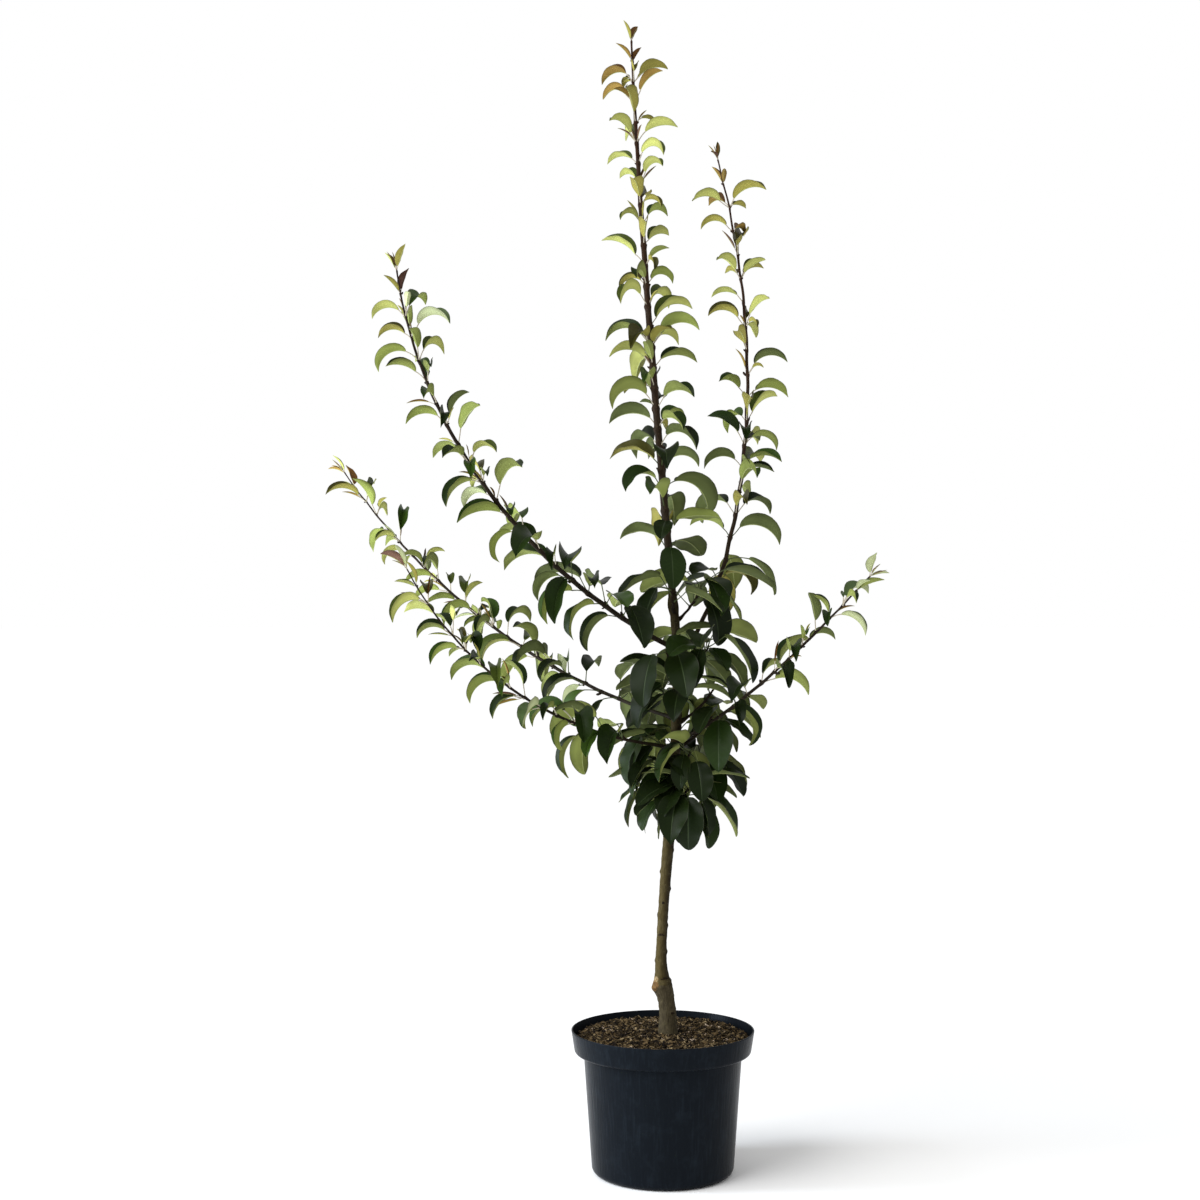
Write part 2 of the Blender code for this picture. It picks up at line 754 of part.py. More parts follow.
def make_mass(limb, leaves, parts, green, clearance):
    """The leafy stem of a limb or spur, with its leaves fused on."""
    name = f"foliage_{limb.name}"
    start = limb.length * limb.bare + GAP if limb.bare else 0
    distances = [start, start + COLLAR, *leaf_stations(limb), limb.length]
    mass = tube(name, *limb_piece(limb, distances), STEM_ROUNDING, parts, green)
    pieces = new_collection(f"{name}_pieces")
    for number, leaf in enumerate(leaves):
        bm = bmesh.new()
        verts = [bm.verts.new(corner) for corner in leaf.corners]
        for face in leaf.faces:
            bm.faces.new([verts[index] for index in face])
        bmesh.ops.recalc_face_normals(bm, faces=bm.faces)
        mesh_object(f"{name}_leaf_{number:03d}", bm, pieces, green)
    fuse(mass, pieces, name)
    if not limb.bare:
        cut_clear_of_trunk(mass, clearance)


def main():
    clear_scene()
    parts = new_collection("potted_pear_tree")
    cutters = new_collection("cutters")
    bark = new_material("pear_bark", *BARK)
    green = new_material("pear_leaf", *LEAF_GREEN)
    make_pot(parts, cutters)
    make_soil(parts)
    clearance = make_trunk(parts, cutters, bark)
    limbs = list(LIMBS) + trunk_spurs()
    kept = kept_leaves(limbs)
    for limb in limbs:
        leaves = [leaf for leaf in kept if leaf.limb == limb.name]
        if len(leaves) < FEWEST_LEAVES:
            continue
        if limb.bare:
            make_bough(limb, parts, bark, clearance)
        make_mass(limb, leaves, parts, green, clearance)


main()
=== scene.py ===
"""Dresses a young potted pear tree: bark, leaves, growing tips, nursery pot and potting soil.

Metres, with +Z up. The origin is the middle of the pot's flat underside, and the tree is seen from -Y.
The limbs and leaves grow by the same rule as the solids, from the same values, and are then given their
real skin: cupped and rippled blades on curved stalks, swollen nodes, buds, bark relief and a graft union.
"""

import math
import random
from collections import namedtuple

import bmesh
import bpy
from bpy.props import FloatProperty, FloatVectorProperty, IntProperty, PointerProperty
from mathutils import Matrix, Vector, noise
from mathutils.kdtree import KDTree


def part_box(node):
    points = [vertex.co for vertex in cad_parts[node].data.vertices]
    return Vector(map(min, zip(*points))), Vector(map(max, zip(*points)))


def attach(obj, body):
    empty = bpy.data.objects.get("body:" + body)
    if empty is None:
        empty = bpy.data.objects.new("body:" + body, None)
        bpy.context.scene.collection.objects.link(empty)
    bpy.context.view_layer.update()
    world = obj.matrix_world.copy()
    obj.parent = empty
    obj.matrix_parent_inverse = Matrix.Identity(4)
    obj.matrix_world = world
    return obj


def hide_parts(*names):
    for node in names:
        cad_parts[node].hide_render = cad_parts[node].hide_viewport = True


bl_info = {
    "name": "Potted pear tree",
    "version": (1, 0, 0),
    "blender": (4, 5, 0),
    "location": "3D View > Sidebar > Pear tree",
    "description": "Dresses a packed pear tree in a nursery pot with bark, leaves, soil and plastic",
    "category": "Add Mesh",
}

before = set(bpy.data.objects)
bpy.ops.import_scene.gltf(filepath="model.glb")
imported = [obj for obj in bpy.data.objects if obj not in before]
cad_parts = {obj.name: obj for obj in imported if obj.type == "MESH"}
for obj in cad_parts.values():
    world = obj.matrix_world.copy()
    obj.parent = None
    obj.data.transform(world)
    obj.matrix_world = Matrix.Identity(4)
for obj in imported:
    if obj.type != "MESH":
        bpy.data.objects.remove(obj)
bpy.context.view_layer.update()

BODY = "root"
MM = 0.001
UP = Vector((0, 0, 1))

# Pot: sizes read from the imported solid, and the wall and steps of its moulding
POT_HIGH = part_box("pot")[1]
POT_HEIGHT = POT_HIGH.z
RIM_RADIUS = POT_HIGH.x
BAND_FOOT_RADIUS = 0.1345
BAND_FOOT = POT_HEIGHT - 0.035
SHOULDER_RADIUS = 0.121
FOOT_RADIUS = 0.108
FOOT_ROUNDING = 0.011
INNER_SHOULDER_ROUNDING = 0.0012
INNER_BAND_ROUNDING = 0.0020
INNER_LIP_ROUNDING = 0.0009
LIP_ROUNDING = 0.0011
BAND_ROUNDING = 0.0056
SHOULDER_ROUNDING = 0.0007
POT_WALL = 0.0024
POT_FLOOR = 0.0030
DRAIN_COUNT = 8
DRAIN_RADIUS = 0.006
DRAIN_CIRCLE_RADIUS = 0.080
DRAIN_SIDES = 32

# Soil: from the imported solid, a little heaped at the trunk, with loose crumbs, chips and fibres on it
GAP = 0.0003
SOIL_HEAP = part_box("soil")[1].z - 0.0015
SOIL_LEVEL = POT_HEIGHT - 0.007
SOIL_AT_WALL = SOIL_LEVEL - 0.001
SOIL_FLAT_RADIUS = 0.030
SOIL_EDGE_SINK = 0.009
SOIL_EDGE_WIDTH = 0.020
SOIL_RINGS = 46
SOIL_SIDES = 150
SOIL_LUMP = 0.0016
SOIL_LUMP_SIZE = 0.011

# Crumbs, chips and fibres on the soil. Depths, radii and lifts are in millimetres, tilts in degrees, and
# the numbers called shades say how often each shade falls on one. A chip or a fibre keeps off the wall
# by a share of its length, and off the trunk by a share of that
SOIL_SHADES = ("peat", "dark_bark", "brown_bark", "dry_fibre", "pale_chip")
LONG_PIECE_MARGIN = 0.55
TRUNK_MARGIN = 0.4
CRUMB_SEED = 21
CRUMB_RANGE = (0.8 * MM, 2.4 * MM)
CRUMB_SINK = (-0.2, 0.6)
CRUMB_TILT = 90
CRUMB_STRETCH = ((0.7, 1.5), (0.6, 1.1), (0.5, 0.9))
CRUMB_LUMPS = (0.75, 1.25)
CRUMB_SHADES = (8, 6, 3, 0.9, 0.25)
CHIP_SEED = 22
CHIP_RANGE = (5 * MM, 15 * MM)
CHIP_SLIMNESS = (0.16, 0.42)
CHIP_DEPTH = (0.5, 1.3)
CHIP_TILT = 38
CHIP_LIFT = (0.2, 1.6)
CHIP_RAGGED = ((0.6, 1.1), (0.5, 1.15), (0.6, 1.4))
CHIP_SHADES = (5, 6, 5, 1.8, 0.35)
FIBRE_SEED = 23
FIBRE_RANGE = (7 * MM, 26 * MM)
FIBRE_RADIUS = (0.18, 0.5)
FIBRE_TILT = 14
FIBRE_BOW = 0.2
FIBRE_LIFT = (0.2, 1.3)
FIBRE_PLACES = (-0.5, -0.25, 0, 0.25, 0.5)
FIBRE_WIDTHS = (1, 1, 0.95, 0.85, 0.6)
FIBRE_SIDES = 5
FIBRE_SHADES = (1, 2, 3, 4, 2)

# Trunk: height above the pot's underside, sideways place of the centre, and width
TrunkKey = namedtuple("TrunkKey", "height across width")
TRUNK = (
    TrunkKey(0.2125, 0.0080, 0.0310),
    TrunkKey(0.2250, 0.0078, 0.0275),
    TrunkKey(0.2550, 0.0065, 0.0255),
    TrunkKey(0.2850, 0.0005, 0.0270),
    TrunkKey(0.3080, -0.0020, 0.0195),
    TrunkKey(0.3400, -0.0022, 0.0165),
    TrunkKey(0.4150, 0.0018, 0.0158),
    TrunkKey(0.4900, 0.0076, 0.0172),
    TrunkKey(0.6000, 0.0160, 0.0162),
    TrunkKey(0.7000, 0.0215, 0.0155),
    TrunkKey(0.8000, 0.0215, 0.0142),
    TrunkKey(0.8890, 0.0143, 0.0124),
)
TRUNK_SINK = 0.006

# How far the trunk's bark turns to its upper colour: more and more from above the union to the fork as it
# grows younger, and round the right side, where it is partly browner bark and partly painted shade away from
# the light
TRUNK_YOUTH = 0.55
YOUTH_ABOVE_UNION = 0.01
BROWN_AND_SHADED_SIDE = 0.95
BROWN_AND_SHADED_COMPASS = 332
BROWN_AND_SHADED_SPAN = 60

# Marks on the trunk: height, compass heading, how tall and how many degrees wide, and how far each stands
# out. The callus is the healed roll of the graft, and the knots are scars of old buds and side shoots
Mark = namedtuple("Mark", "height compass tall span proud")
CALLUS = Mark(0.2850, 198, 0.0085, 42, 0.0036)
PIT = Mark(0.2958, 292, 0.0022, 52, -0.0016)
LUMP = Mark(0.2895, 322, 0.0030, 20, 0.0013)
RING = Mark(0.3625, 262, 0.0014, 60, -0.0007)
KNOT_TALL = 0.0038
KNOT_SPAN = 24
KNOTS = [
    Mark(height, compass, KNOT_TALL, KNOT_SPAN, proud)
    for height, compass, proud in (
        (0.244, 300, 0.0012), (0.262, 60, 0.0014), (0.323, 182, 0.0011), (0.336, 6, 0.0016),
        (0.377, 352, 0.0015), (0.393, 178, 0.0013), (0.412, 265, 0.0010), (0.433, 4, 0.0017),
        (0.458, 184, 0.0018), (0.476, 80, 0.0014), (0.492, 330, 0.0020), (0.513, 205, 0.0012),
        (0.530, 110, 0.0014), (0.541, 20, 0.0018),
    )
]
UNION_HEIGHT = 0.287
UNION_PROUD = 0.0011
UNION_TALL = 0.0035
UNION_SLANT = 0.004
KNUCKLE = Mark(0.866, 200, 0.011, 70, 0.0026)
KNUCKLE_ALL_ROUND = 0.45

# Roughness of the bark: its long fissures and broad lumps, how large they are and how proud they stand
ROUGH_BELOW_UNION = 1.0
ROUGH_ABOVE_UNION = 0.55
RELIEF_RADIUS = 0.008
FISSURE_STRETCH = 0.45
FISSURE_SIZE = 1 / 260
FISSURE_PROUD = 0.0009
BROAD_LUMP_SIZE = 1 / 70
BROAD_LUMP_PROUD = 0.0008

# The trunk's top closes over its last few millimetres, inside the foot of the leader
CLOSING_BELOW_TOP = 0.006
CLOSED_ABOVE_TOP = 0.0015
LEAST_CLOSING = 0.05

# The trunk's finishes by number, and where one shows instead of the bark: from a share of a mark's strength.
# The scar finish is painted shade in the creases of the pit and the ring, and on the knots dark scar cork,
# partly painted shade
BARK, ROOTSTOCK, HEALED, FRESH, SCAR_AND_CREASE_SHADE = range(5)
ROOTSTOCK_SLANT = 0.003
CREASE_TALL = 0.0026
TRUNK_PATCHES = (
    (Mark(0.2965, 215, 0.0042, 30, 0), 0.5, FRESH),
    (CALLUS._replace(height=0.2880), 0.34, HEALED),
    (PIT._replace(tall=CREASE_TALL), 0.6, SCAR_AND_CREASE_SHADE),
    (RING._replace(tall=CREASE_TALL), 0.6, SCAR_AND_CREASE_SHADE),
    *((knot, 0.72, SCAR_AND_CREASE_SHADE) for knot in KNOTS),
)

# Limbs: root height on the trunk, compass heading seen from above (0 to the right, 90 away), how far
# the heading turns, climb at the root and at the tip, how late the climb changes, length, widths,
# bare share of the length, spacing of the leaf stations, leaves at a station, and how large they are
Limb = namedtuple(
    "Limb",
    "name root compass turn climb tip_climb bend length width tip_width"
    " bare spacing rosette vigour seed",
)
LIMBS = (
    Limb("leader", 0.889, 178, 0, 84.9, 87.3, 1.8, 0.845, 0.0118, 0.0028, 0.06, 0.031, 2.8, 1.0, 434),
    Limb("right_leader", 0.786, 52, -20, 12.0, 109, 0.4, 0.848, 0.0080, 0.0026, 0.18, 0.036, 2.6, 1.0, 20),
    Limb("left_upper", 0.797, 205, -8, 26.0, 82.0, 1.2, 0.743, 0.0088, 0.0026, 0.13, 0.032, 2.4, 1.02, 485),
    Limb("left_mid", 0.693, 148, 6, 10.5, 50.7, 0.85, 0.76, 0.0066, 0.0022, 0.13, 0.032, 2.1, 0.95, 264),
    Limb("left_lower", 0.649, 212, -12, 6.4, 62.5, 1.2, 0.542, 0.0054, 0.0020, 0.16, 0.029, 2.3, 0.95, 303),
    Limb("right_lower", 0.657, -38, 12, 12.6, 46.7, 0.35, 0.414, 0.0062, 0.0022, 0.2, 0.028, 2.2, 0.9, 171),
)

# Spurs: short leafy side shoots in tiers up the trunk, longer to the right than to the left
Tier = namedtuple("Tier", "height count compass climb tip_climb length width rosette")
TIERS = (
    Tier(0.560, 2, 300, 15, 50, 0.050, 0.0055, 4.0),
    Tier(0.590, 4, 30, 20, 55, 0.050, 0.0058, 4.0),
    Tier(0.628, 4, 80, 25, 60, 0.056, 0.0055, 4.0),
    Tier(0.685, 4, 10, 25, 60, 0.058, 0.0052, 3.8),
    Tier(0.745, 4, 325, 30, 65, 0.064, 0.0052, 3.6),
    Tier(0.840, 3, 20, 35, 70, 0.056, 0.0048, 3.6),
)
SPUR_TIP_WIDTH = 0.0030
SPUR_SPACING = 0.009
SPUR_BARE = 0.35
SPUR_LOPSIDED = 0.42
SPUR_STAGGER = 0.006
FIRST_SPUR_SEED = 742

# How a limb is drawn: a point every so often, a slight zigzag from station to station
PATH_STEP = 0.004
ZIGZAG = 0.0010
THINNING = 2.0
NEARLY_UPRIGHT = 0.05

# How leaves stand along and round a stem
FIRST_STATION = 0.008
LAST_STATION = 0.004
GOLDEN_ANGLE = 137.5
TURN_SCATTER = 14
ROSETTE_SCATTER = 20
ROSETTE_RANGE = (0.45, 1.55)
ROSETTE_AT_FOOT = 1.15
ROSETTE_AT_TIP = 0.80
LESSER_LEAF = (0.68, 1.0)
TIP_STATIONS = 2
TIP_PAIR_ANGLE = 170
OLD_WOOD = 0.10
OLD_LEAF_CHANCE = 0.6
FULLY_FOLDED = 0.6

# Kinds of leaf, each value as its lowest and highest: angle off the stem, lift, stalk, blade length,
# half width as a share of the length, then fold of each half, dip at the blade's foot, arch, roll and twist
LeafKind = namedtuple("LeafKind", "spread lift stalk length half fold dip arch roll twist")
YOUNG = LeafKind(
    (14, 40), (0, 0), (0.003, 0.008), (0.026, 0.044), (0.12, 0.26),
    (58, 72), (0, 8), (5, 40), (-20, 20), (-15, 15),
)
SHOOT_FOOT = LeafKind(
    (38, 66), (0.25, 0.45), (0.021, 0.034), (0.078, 0.100), (0.25, 0.30),
    (30, 52), (4, 36), (70, 145), (-24, 24), (-20, 20),
)
SHOOT_TIP = LeafKind(
    (38, 66), (0.25, 0.50), (0.015, 0.025), (0.046, 0.068), (0.23, 0.29),
    (50, 68), (-12, 22), (45, 118), (-24, 24), (-20, 20),
)
OLD = LeafKind(
    (45, 85), (0, 0.4), (0.024, 0.044), (0.072, 0.092), (0.28, 0.33),
    (12, 34), (30, 65), (25, 60), (-20, 20), (-12, 12),
)
# Narrow unfolding leaves in the axils of the shoots, finer than the solids show
AXIL = LeafKind(
    (22, 52), (0, 0.3), (0.006, 0.015), (0.020, 0.038), (0.07, 0.12),
    (55, 74), (-8, 8), (5, 40), (-30, 30), (-20, 20),
)
# Small folded leaves that share a node with a grown one
SMALL = LeafKind(
    (35, 80), (0, 0.4), (0.008, 0.017), (0.022, 0.046), (0.24, 0.34),
    (40, 66), (0, 30), (30, 120), (-30, 30), (-24, 24),
)
SMALL_BLADE = 0.040
# Hair-thin leaves that stand up from a growing tip
NEEDLE = LeafKind(
    (6, 30), (0, 0), (0.002, 0.005), (0.017, 0.027), (0.075, 0.10),
    (45, 62), (-4, 4), (4, 18), (-20, 20), (-10, 10),
)
NEEDLES = 3
# Broad hanging leaves that fill the heart of the mass between the solids' leaves
BROAD = LeafKind(
    (50, 88), (0, 0.3), (0.016, 0.034), (0.060, 0.086), (0.27, 0.32),
    (8, 30), (30, 75), (20, 55), (-24, 24), (-12, 12),
)
BROAD_TRIES = 30
BROAD_AIR = 0.0165
BROAD_SLACK = 0.004
HEART_REACH = 0.085
HEART_TOP = 0.70

# Young leaves open a little further than their solids, and are thinner
YOUNG_THINNESS = 0.8
YOUNG_OPENING = 0.68
YOUNG_FULLNESS = 1.15
YOUNG_STALK = 0.7
# From this share of a limb up its stalks are pale; below it, and on the spurs, they take the darker colour,
# painted shade
PALE_STALKS_FROM = 0.16

# The blade's outline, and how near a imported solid's point must lie to say that a leaf is there
WIDEST_PLACE = 0.85
OUTLINE_FULLNESS = 0.8
SAME_TIP = 0.0003

# The fine blade: columns from the midrib to the margin, the shape across them, and the side veins
COLUMNS = (0, 0.032, 0.2, 0.4, 0.6, 0.8, 0.97, 1)
CUP_AT_RIB = 0.62
CUP_AT_MARGIN = 1.22
UNEVEN_FOLD = 12
SLIMNESS = 0.97
BROADNESS = (0.28, 0.31)
BROAD_FULLNESS = 0.74
TIP_DRAWN_FROM = 0.80
TIP_DRAWN = 0.38
TOOTH = 0.006
RIPPLE = 0.05
RIPPLE_WAVES = (1.6, 3.2)
RIB_PROUD = 0.0007
RIB_GROOVE = 0.0004
RIB_FADING = 0.7
VEIN_PAIRS = 10.0
VEIN_SWEEP = -0.17
VEIN_WIDTH = 0.11

# Stalks: places along one and how wide it is there, the last lying a little way into the midrib
STALK_PLACES = (0, 0.1, 0.3, 0.5, 0.7, 0.9, 1)
STALK_WIDTHS = (1.7, 1.35, 1.0, 0.92, 0.92, 1.0, 1.1, 0.7)
STALK_INTO_BLADE = 0.03
STALK_BOW = (-0.06, 0.10)
STALK_SIDES = 6

# Tints of leaf, dealt out leaf by leaf, with the colours of the upper side and the underside. The undersides'
# pale colours are partly their own and partly painted light shining through the blade
TINTS = {
    "deep": ("#152009", "#646e3f"),
    "green": ("#1f2f0e", "#87904c"),
    "bright": ("#354d17", "#8f9b4e"),
    "lime": ("#4a5720", "#b8bc68"),
    "olive": ("#48461c", "#9f984a"),
    "bronze": ("#6b4a22", "#967a3b"),
    "pale": ("#51643c", "#bbc392"),
    "violet": ("#452d23", "#6b4f40"),
}
RIB_FINISH = 2 * len(TINTS)
MARGIN_FINISH = RIB_FINISH + 2

# How often each tint falls on a growing tip, on a leaf in an axil, and up to a share of a limb's length
BRONZE_TIP = (0, 0, 0, 0, 2, 8, 0, 1)
MIXED_TIP = (0, 0, 0, 3, 3, 4, 2, 2)
PALE_TIP = (0, 1, 0, 1, 0, 0, 8, 0)
AXIL_TINTS = (0, 0, 0, 1, 2, 5, 1, 5)
NEEDLE_TINTS = (0, 0, 0, 0, 0, 3, 0, 7)
# Leaves beside a grown one: their kind, the share of the limb beyond which they stand, how likely
# one is, and its tints, or None for those of its zone
BESIDE_LEAVES = ((SMALL, 0.22, 0.26, None), (AXIL, 0.34, 0.50, AXIL_TINTS))
SHOOT_ZONES = (
    (0.16, (7, 4, 1, 0, 1, 0, 0, 0)),
    (0.38, (4, 4, 2, 3, 3, 0, 1, 0)),
    (0.62, (1, 2, 2, 5, 5, 0, 2, 0)),
    (0.86, (0, 0, 1, 6, 7, 1, 1, 0)),
    (1.01, (0, 0, 0, 3, 5, 4, 1, 0)),
)
SIDE_ZONES = (
    (0.18, (6, 4, 3, 0, 0, 0, 1, 0)),
    (0.45, (3, 6, 4, 2, 0, 0, 1, 0)),
    (0.80, (1, 5, 6, 3, 1, 0, 0, 0)),
    (1.01, (0, 2, 4, 5, 2, 1, 1, 0)),
)
LOW_ZONES = (
    (0.35, (7, 4, 0, 0, 0, 0, 0, 0)),
    (0.75, (4, 5, 1, 0, 0, 0, 1, 0)),
    (1.01, (0, 2, 1, 0, 0, 0, 5, 0)),
)
SPUR_ZONES = ((1.01, (9, 4, 0, 0, 0, 0, 0, 0)),)
Tinting = namedtuple("Tinting", "zones tip")
TINTING = {
    "leader": Tinting(SHOOT_ZONES, BRONZE_TIP),
    "right_leader": Tinting(SHOOT_ZONES, BRONZE_TIP),
    "left_upper": Tinting(SIDE_ZONES, MIXED_TIP),
    "left_mid": Tinting(SIDE_ZONES, MIXED_TIP),
    "left_lower": Tinting(SIDE_ZONES, MIXED_TIP),
    "right_lower": Tinting(LOW_ZONES, PALE_TIP),
}

# Stems: rings and node swellings along them, the faint lobes that wind round them, how wide the end of
# one is and how soon it is full, and the flare where one leaves the trunk
STEM_RING = 0.002
STEM_SIDES = 16
STEM_SLIMNESS = 0.86
STEM_WOBBLE = 0.05
STEM_LOBES = 3
STEM_WINDING = 40
STEM_TIP = 0.35
STEM_TIP_REACH = STEM_RING / 0.3
NODE_SWELL = 0.24
NODE_REACH = 0.0034
NODE_LEAN = 0.0009
FLARE = 0.9
FLARE_REACH = 0.007
LEADER_SINK = 0.008
SPUR_YOUTH = 0.6

# Buds, and the short fruiting spurs, called pegs here, on older wood
BUD_RANGE = (2.6 * MM, 4.4 * MM)
BUD_PLACES = (0, 0.25, 0.5, 0.75, 0.92, 1)
BUD_WIDTHS = (0.26, 0.34, 0.32, 0.22, 0.10, 0.02)
BUD_ALONG, BUD_OUTWARD = 0.8, 0.6
BUD_SIDES = 8
BUD_YOUTH = 0.6
PEGS_UNTIL = 0.6
PEG_CHANCE = 0.45
PEG_LENGTH = (0.007, 0.013)
PEG_RADIUS = (0.0014, 0.0021)
PEG_BEND = (0.3, 0.7)
PEG_RINGS = 14
PEG_SIDES = 10
PEG_SCAR = 0.16
RINGS_TO_A_SCAR = 3
PEG_TAPER = (1.15, 0.9)
PEG_BLUNT = (0.75, 1.02)
PEG_TIP = 0.03
PEG_YOUTH = 0.35

# What is drawn at random for a limb takes the limb's own seed with one of these added
TINT_SEED = 3
STALK_SEED = 5
LESSER_SEED = 7
EXTRAS_SEED = 11

# Angles in degrees over which the pieces' faces show an edge
SOIL_CREASE = 50
CHIP_CREASE = 20
STEM_CREASE = 60
LEAF_CREASE = 70
POT_CREASE = 40

# Stage: a soft sun from the upper left, and a cool strip beside the pot
KEY_PLACE = (-2.6, -1.9, 3.6)
KEY_TARGET = (0, 0, 0.9)
KEY_SPREAD = 42
STRIP_PLACE = (-1.7, -0.2, 0.7)
STRIP_TARGET = (0, 0, 0.25)
STRIP_SIZE = (0.45, 1.4)
SKY_BLUE = (0.82, 0.90, 1.0)
FLOOR_RADIUS = 60
CAMERA_ACROSS = -0.096
SENSOR_WIDTH = 36

# A Mix node's two colours go by number, because its other kinds of input have the same names
MIX_FIRST, MIX_SECOND = 6, 7

Leaf = namedtuple("Leaf", "root heading stalk length half fold climb arch roll twist")
Grown = namedtuple("Grown", "leaf share young")


# Colours and nodes


def linear(code):
    """Linear red, green and blue of an sRGB colour written as hex."""
    parts = [int(code[place : place + 2], 16) / 255 for place in (1, 3, 5)]
    return tuple(part / 12.92 if part <= 0.04045 else ((part + 0.055) / 1.055) ** 2.4 for part in parts)


def shaded(colour, factor=1):
    """A linear colour made lighter or darker, ready for a colour socket."""
    return (*(min(part * factor, 1) for part in colour), 1)


def feed(tree, node, inputs):
    """Fills a node's inputs, each with a value, from a socket, or from another node's first open output."""
    for name, value in inputs.items():
        if isinstance(value, bpy.types.Node):
            value = next(socket for socket in value.outputs if socket.enabled)
        if isinstance(value, bpy.types.NodeSocket):
            tree.links.new(value, node.inputs[name])
        else:
            node.inputs[name].default_value = value


def add_node(tree, kind, inputs=None, **settings):
    """A shader node of a kind, with its settings and its inputs."""
    node = tree.nodes.new(f"ShaderNode{kind}")
    for name, value in settings.items():
        setattr(node, name, value)
    feed(tree, node, inputs or {})
    return node


def layered(tree, base, *layers):
    """A base colour with others laid over it in turn, each as far as its source says, or as two spans turn
    the source's own values into shares."""
    for source, colour, *spans in layers:
        if spans:
            (low, high), (least, most) = spans
            ends = {"From Min": low, "From Max": high, "To Min": least, "To Max": most}
            source = add_node(tree, "MapRange", {"Value": source, **ends})
        colours = {MIX_FIRST: base, MIX_SECOND: colour}
        base = add_node(tree, "Mix", {"Factor": source, **colours}, data_type="RGBA")
    return base


def new_material(name):
    """A material, with its node tree and its shader."""
    material = bpy.data.materials.new(name)
    material.use_nodes = True
    return material, material.node_tree, material.node_tree.nodes["Principled BSDF"]


# Finishes. A noise's scale is one over the size of its patches, which lie fixed on the tree


def blade_place(tree):
    """How far along its leaf a point of a blade lies, how far from the midrib, and the leaf's own tone."""
    blade = add_node(tree, "Attribute", attribute_name="blade")
    place = add_node(tree, "SeparateXYZ", {"Vector": blade.outputs["Vector"]})
    across = add_node(tree, "Math", {0: place.outputs["X"]}, operation="ABSOLUTE")
    return place.outputs["Y"], across, place.outputs["Z"]


def side_veins(tree, along, across, strength):
    """How strongly a side vein shows: pairs that run forward from the midrib and fade to the margin."""
    forward = add_node(tree, "Math", {0: across, 1: VEIN_SWEEP, 2: along}, operation="MULTIPLY_ADD")
    wave = add_node(tree, "Math", {0: forward, 1: VEIN_PAIRS}, operation="MULTIPLY")
    saw = add_node(tree, "Math", {0: wave, 1: 0.5}, operation="PINGPONG")
    ridge_ends = {"From Min": 0.0, "From Max": VEIN_WIDTH, "To Min": 1.0, "To Max": 0.0}
    ridge = add_node(tree, "MapRange", {"Value": saw, **ridge_ends}, interpolation_type="SMOOTHSTEP")
    fading_ends = {"From Min": 0.3, "From Max": 0.95, "To Min": strength, "To Max": 0.0}
    fading = add_node(tree, "MapRange", {"Value": across, **fading_ends})
    return add_node(tree, "Math", {0: ridge, 1: fading}, operation="MULTIPLY")


def leaf_upper_finish(name, colour):
    """Waxy upper side: a thin cuticle gives soft grey-blue lights over dark green, with sunken side veins."""
    material, tree, shader = new_material(name)
    along, across, tone = blade_place(tree)
    spot = add_node(tree, "TexCoord").outputs["Object"]
    mottle = add_node(tree, "TexNoise", {"Vector": spot, "Scale": 1 / (22 * MM), "Detail": 1.0})
    veins = side_veins(tree, along, across, 0.3)
    skin = layered(
        tree,
        shaded(colour, 0.7),
        (tone, shaded(colour, 1.3)),
        (mottle, shaded(colour, 0.85)),
        (veins, shaded(colour, 1.5)),
    )
    relief = add_node(tree, "Bump", {"Height": veins, "Strength": 0.6, "Distance": 0.25 * MM}, invert=True)
    feed(tree, shader, {"Base Color": skin, "Normal": relief})
    feed(tree, shader, {"Roughness": 0.38, "IOR": 1.45, "Specular IOR Level": 0.12})
    return material


def leaf_under_finish(name, colour):
    """Pale underside: no wax, so a soft even light, darker to its margin and tip, with raised side veins.
    Its paleness is partly painted light through the blade, and the darkening to its margin partly painted
    shade.
    """
    material, tree, shader = new_material(name)
    along, across, tone = blade_place(tree)
    spot = add_node(tree, "TexCoord").outputs["Object"]
    mottle = add_node(tree, "TexNoise", {"Vector": spot, "Scale": 1 / (30 * MM), "Detail": 0.0})
    veins = side_veins(tree, along, across, 0.08)
    skin = layered(
        tree,
        shaded(colour, 0.66),
        (tone, shaded(colour, 1.3)),
        (along, shaded(colour, 0.62), (0.3, 1.0), (0.0, 0.85)),
        # Darker to the margin: partly painted shade of the curled edge
        (across, shaded(colour, 0.36), (0.55, 1.0), (0.0, 0.9)),
        (mottle, shaded(colour, 1.12), (0.35, 0.65), (0.0, 0.4)),
        (veins, shaded(colour, 1.1)),
    )
    relief = add_node(tree, "Bump", {"Height": veins, "Strength": 0.35, "Distance": 0.2 * MM})
    feed(tree, shader, {"Base Color": skin, "Normal": relief})
    feed(tree, shader, {"Roughness": 0.65, "IOR": 1.4, "Specular IOR Level": 0.15})
    return material


def plain_tissue_finish(name, colour, patch, lighter):
    """Sappy green tissue of stalks and midribs: smooth and faintly streaked, a little darker in patches."""
    material, tree, shader = new_material(name)
    spot = add_node(tree, "TexCoord").outputs["Object"]
    mottle = add_node(tree, "TexNoise", {"Vector": spot, "Scale": 1 / patch, "Detail": 1.0})
    skin = layered(tree, shaded(colour, 0.7), (mottle, shaded(colour, lighter)))
    feed(tree, shader, {"Base Color": skin, "Roughness": 0.5, "IOR": 1.4, "Specular IOR Level": 0.35})
    return material


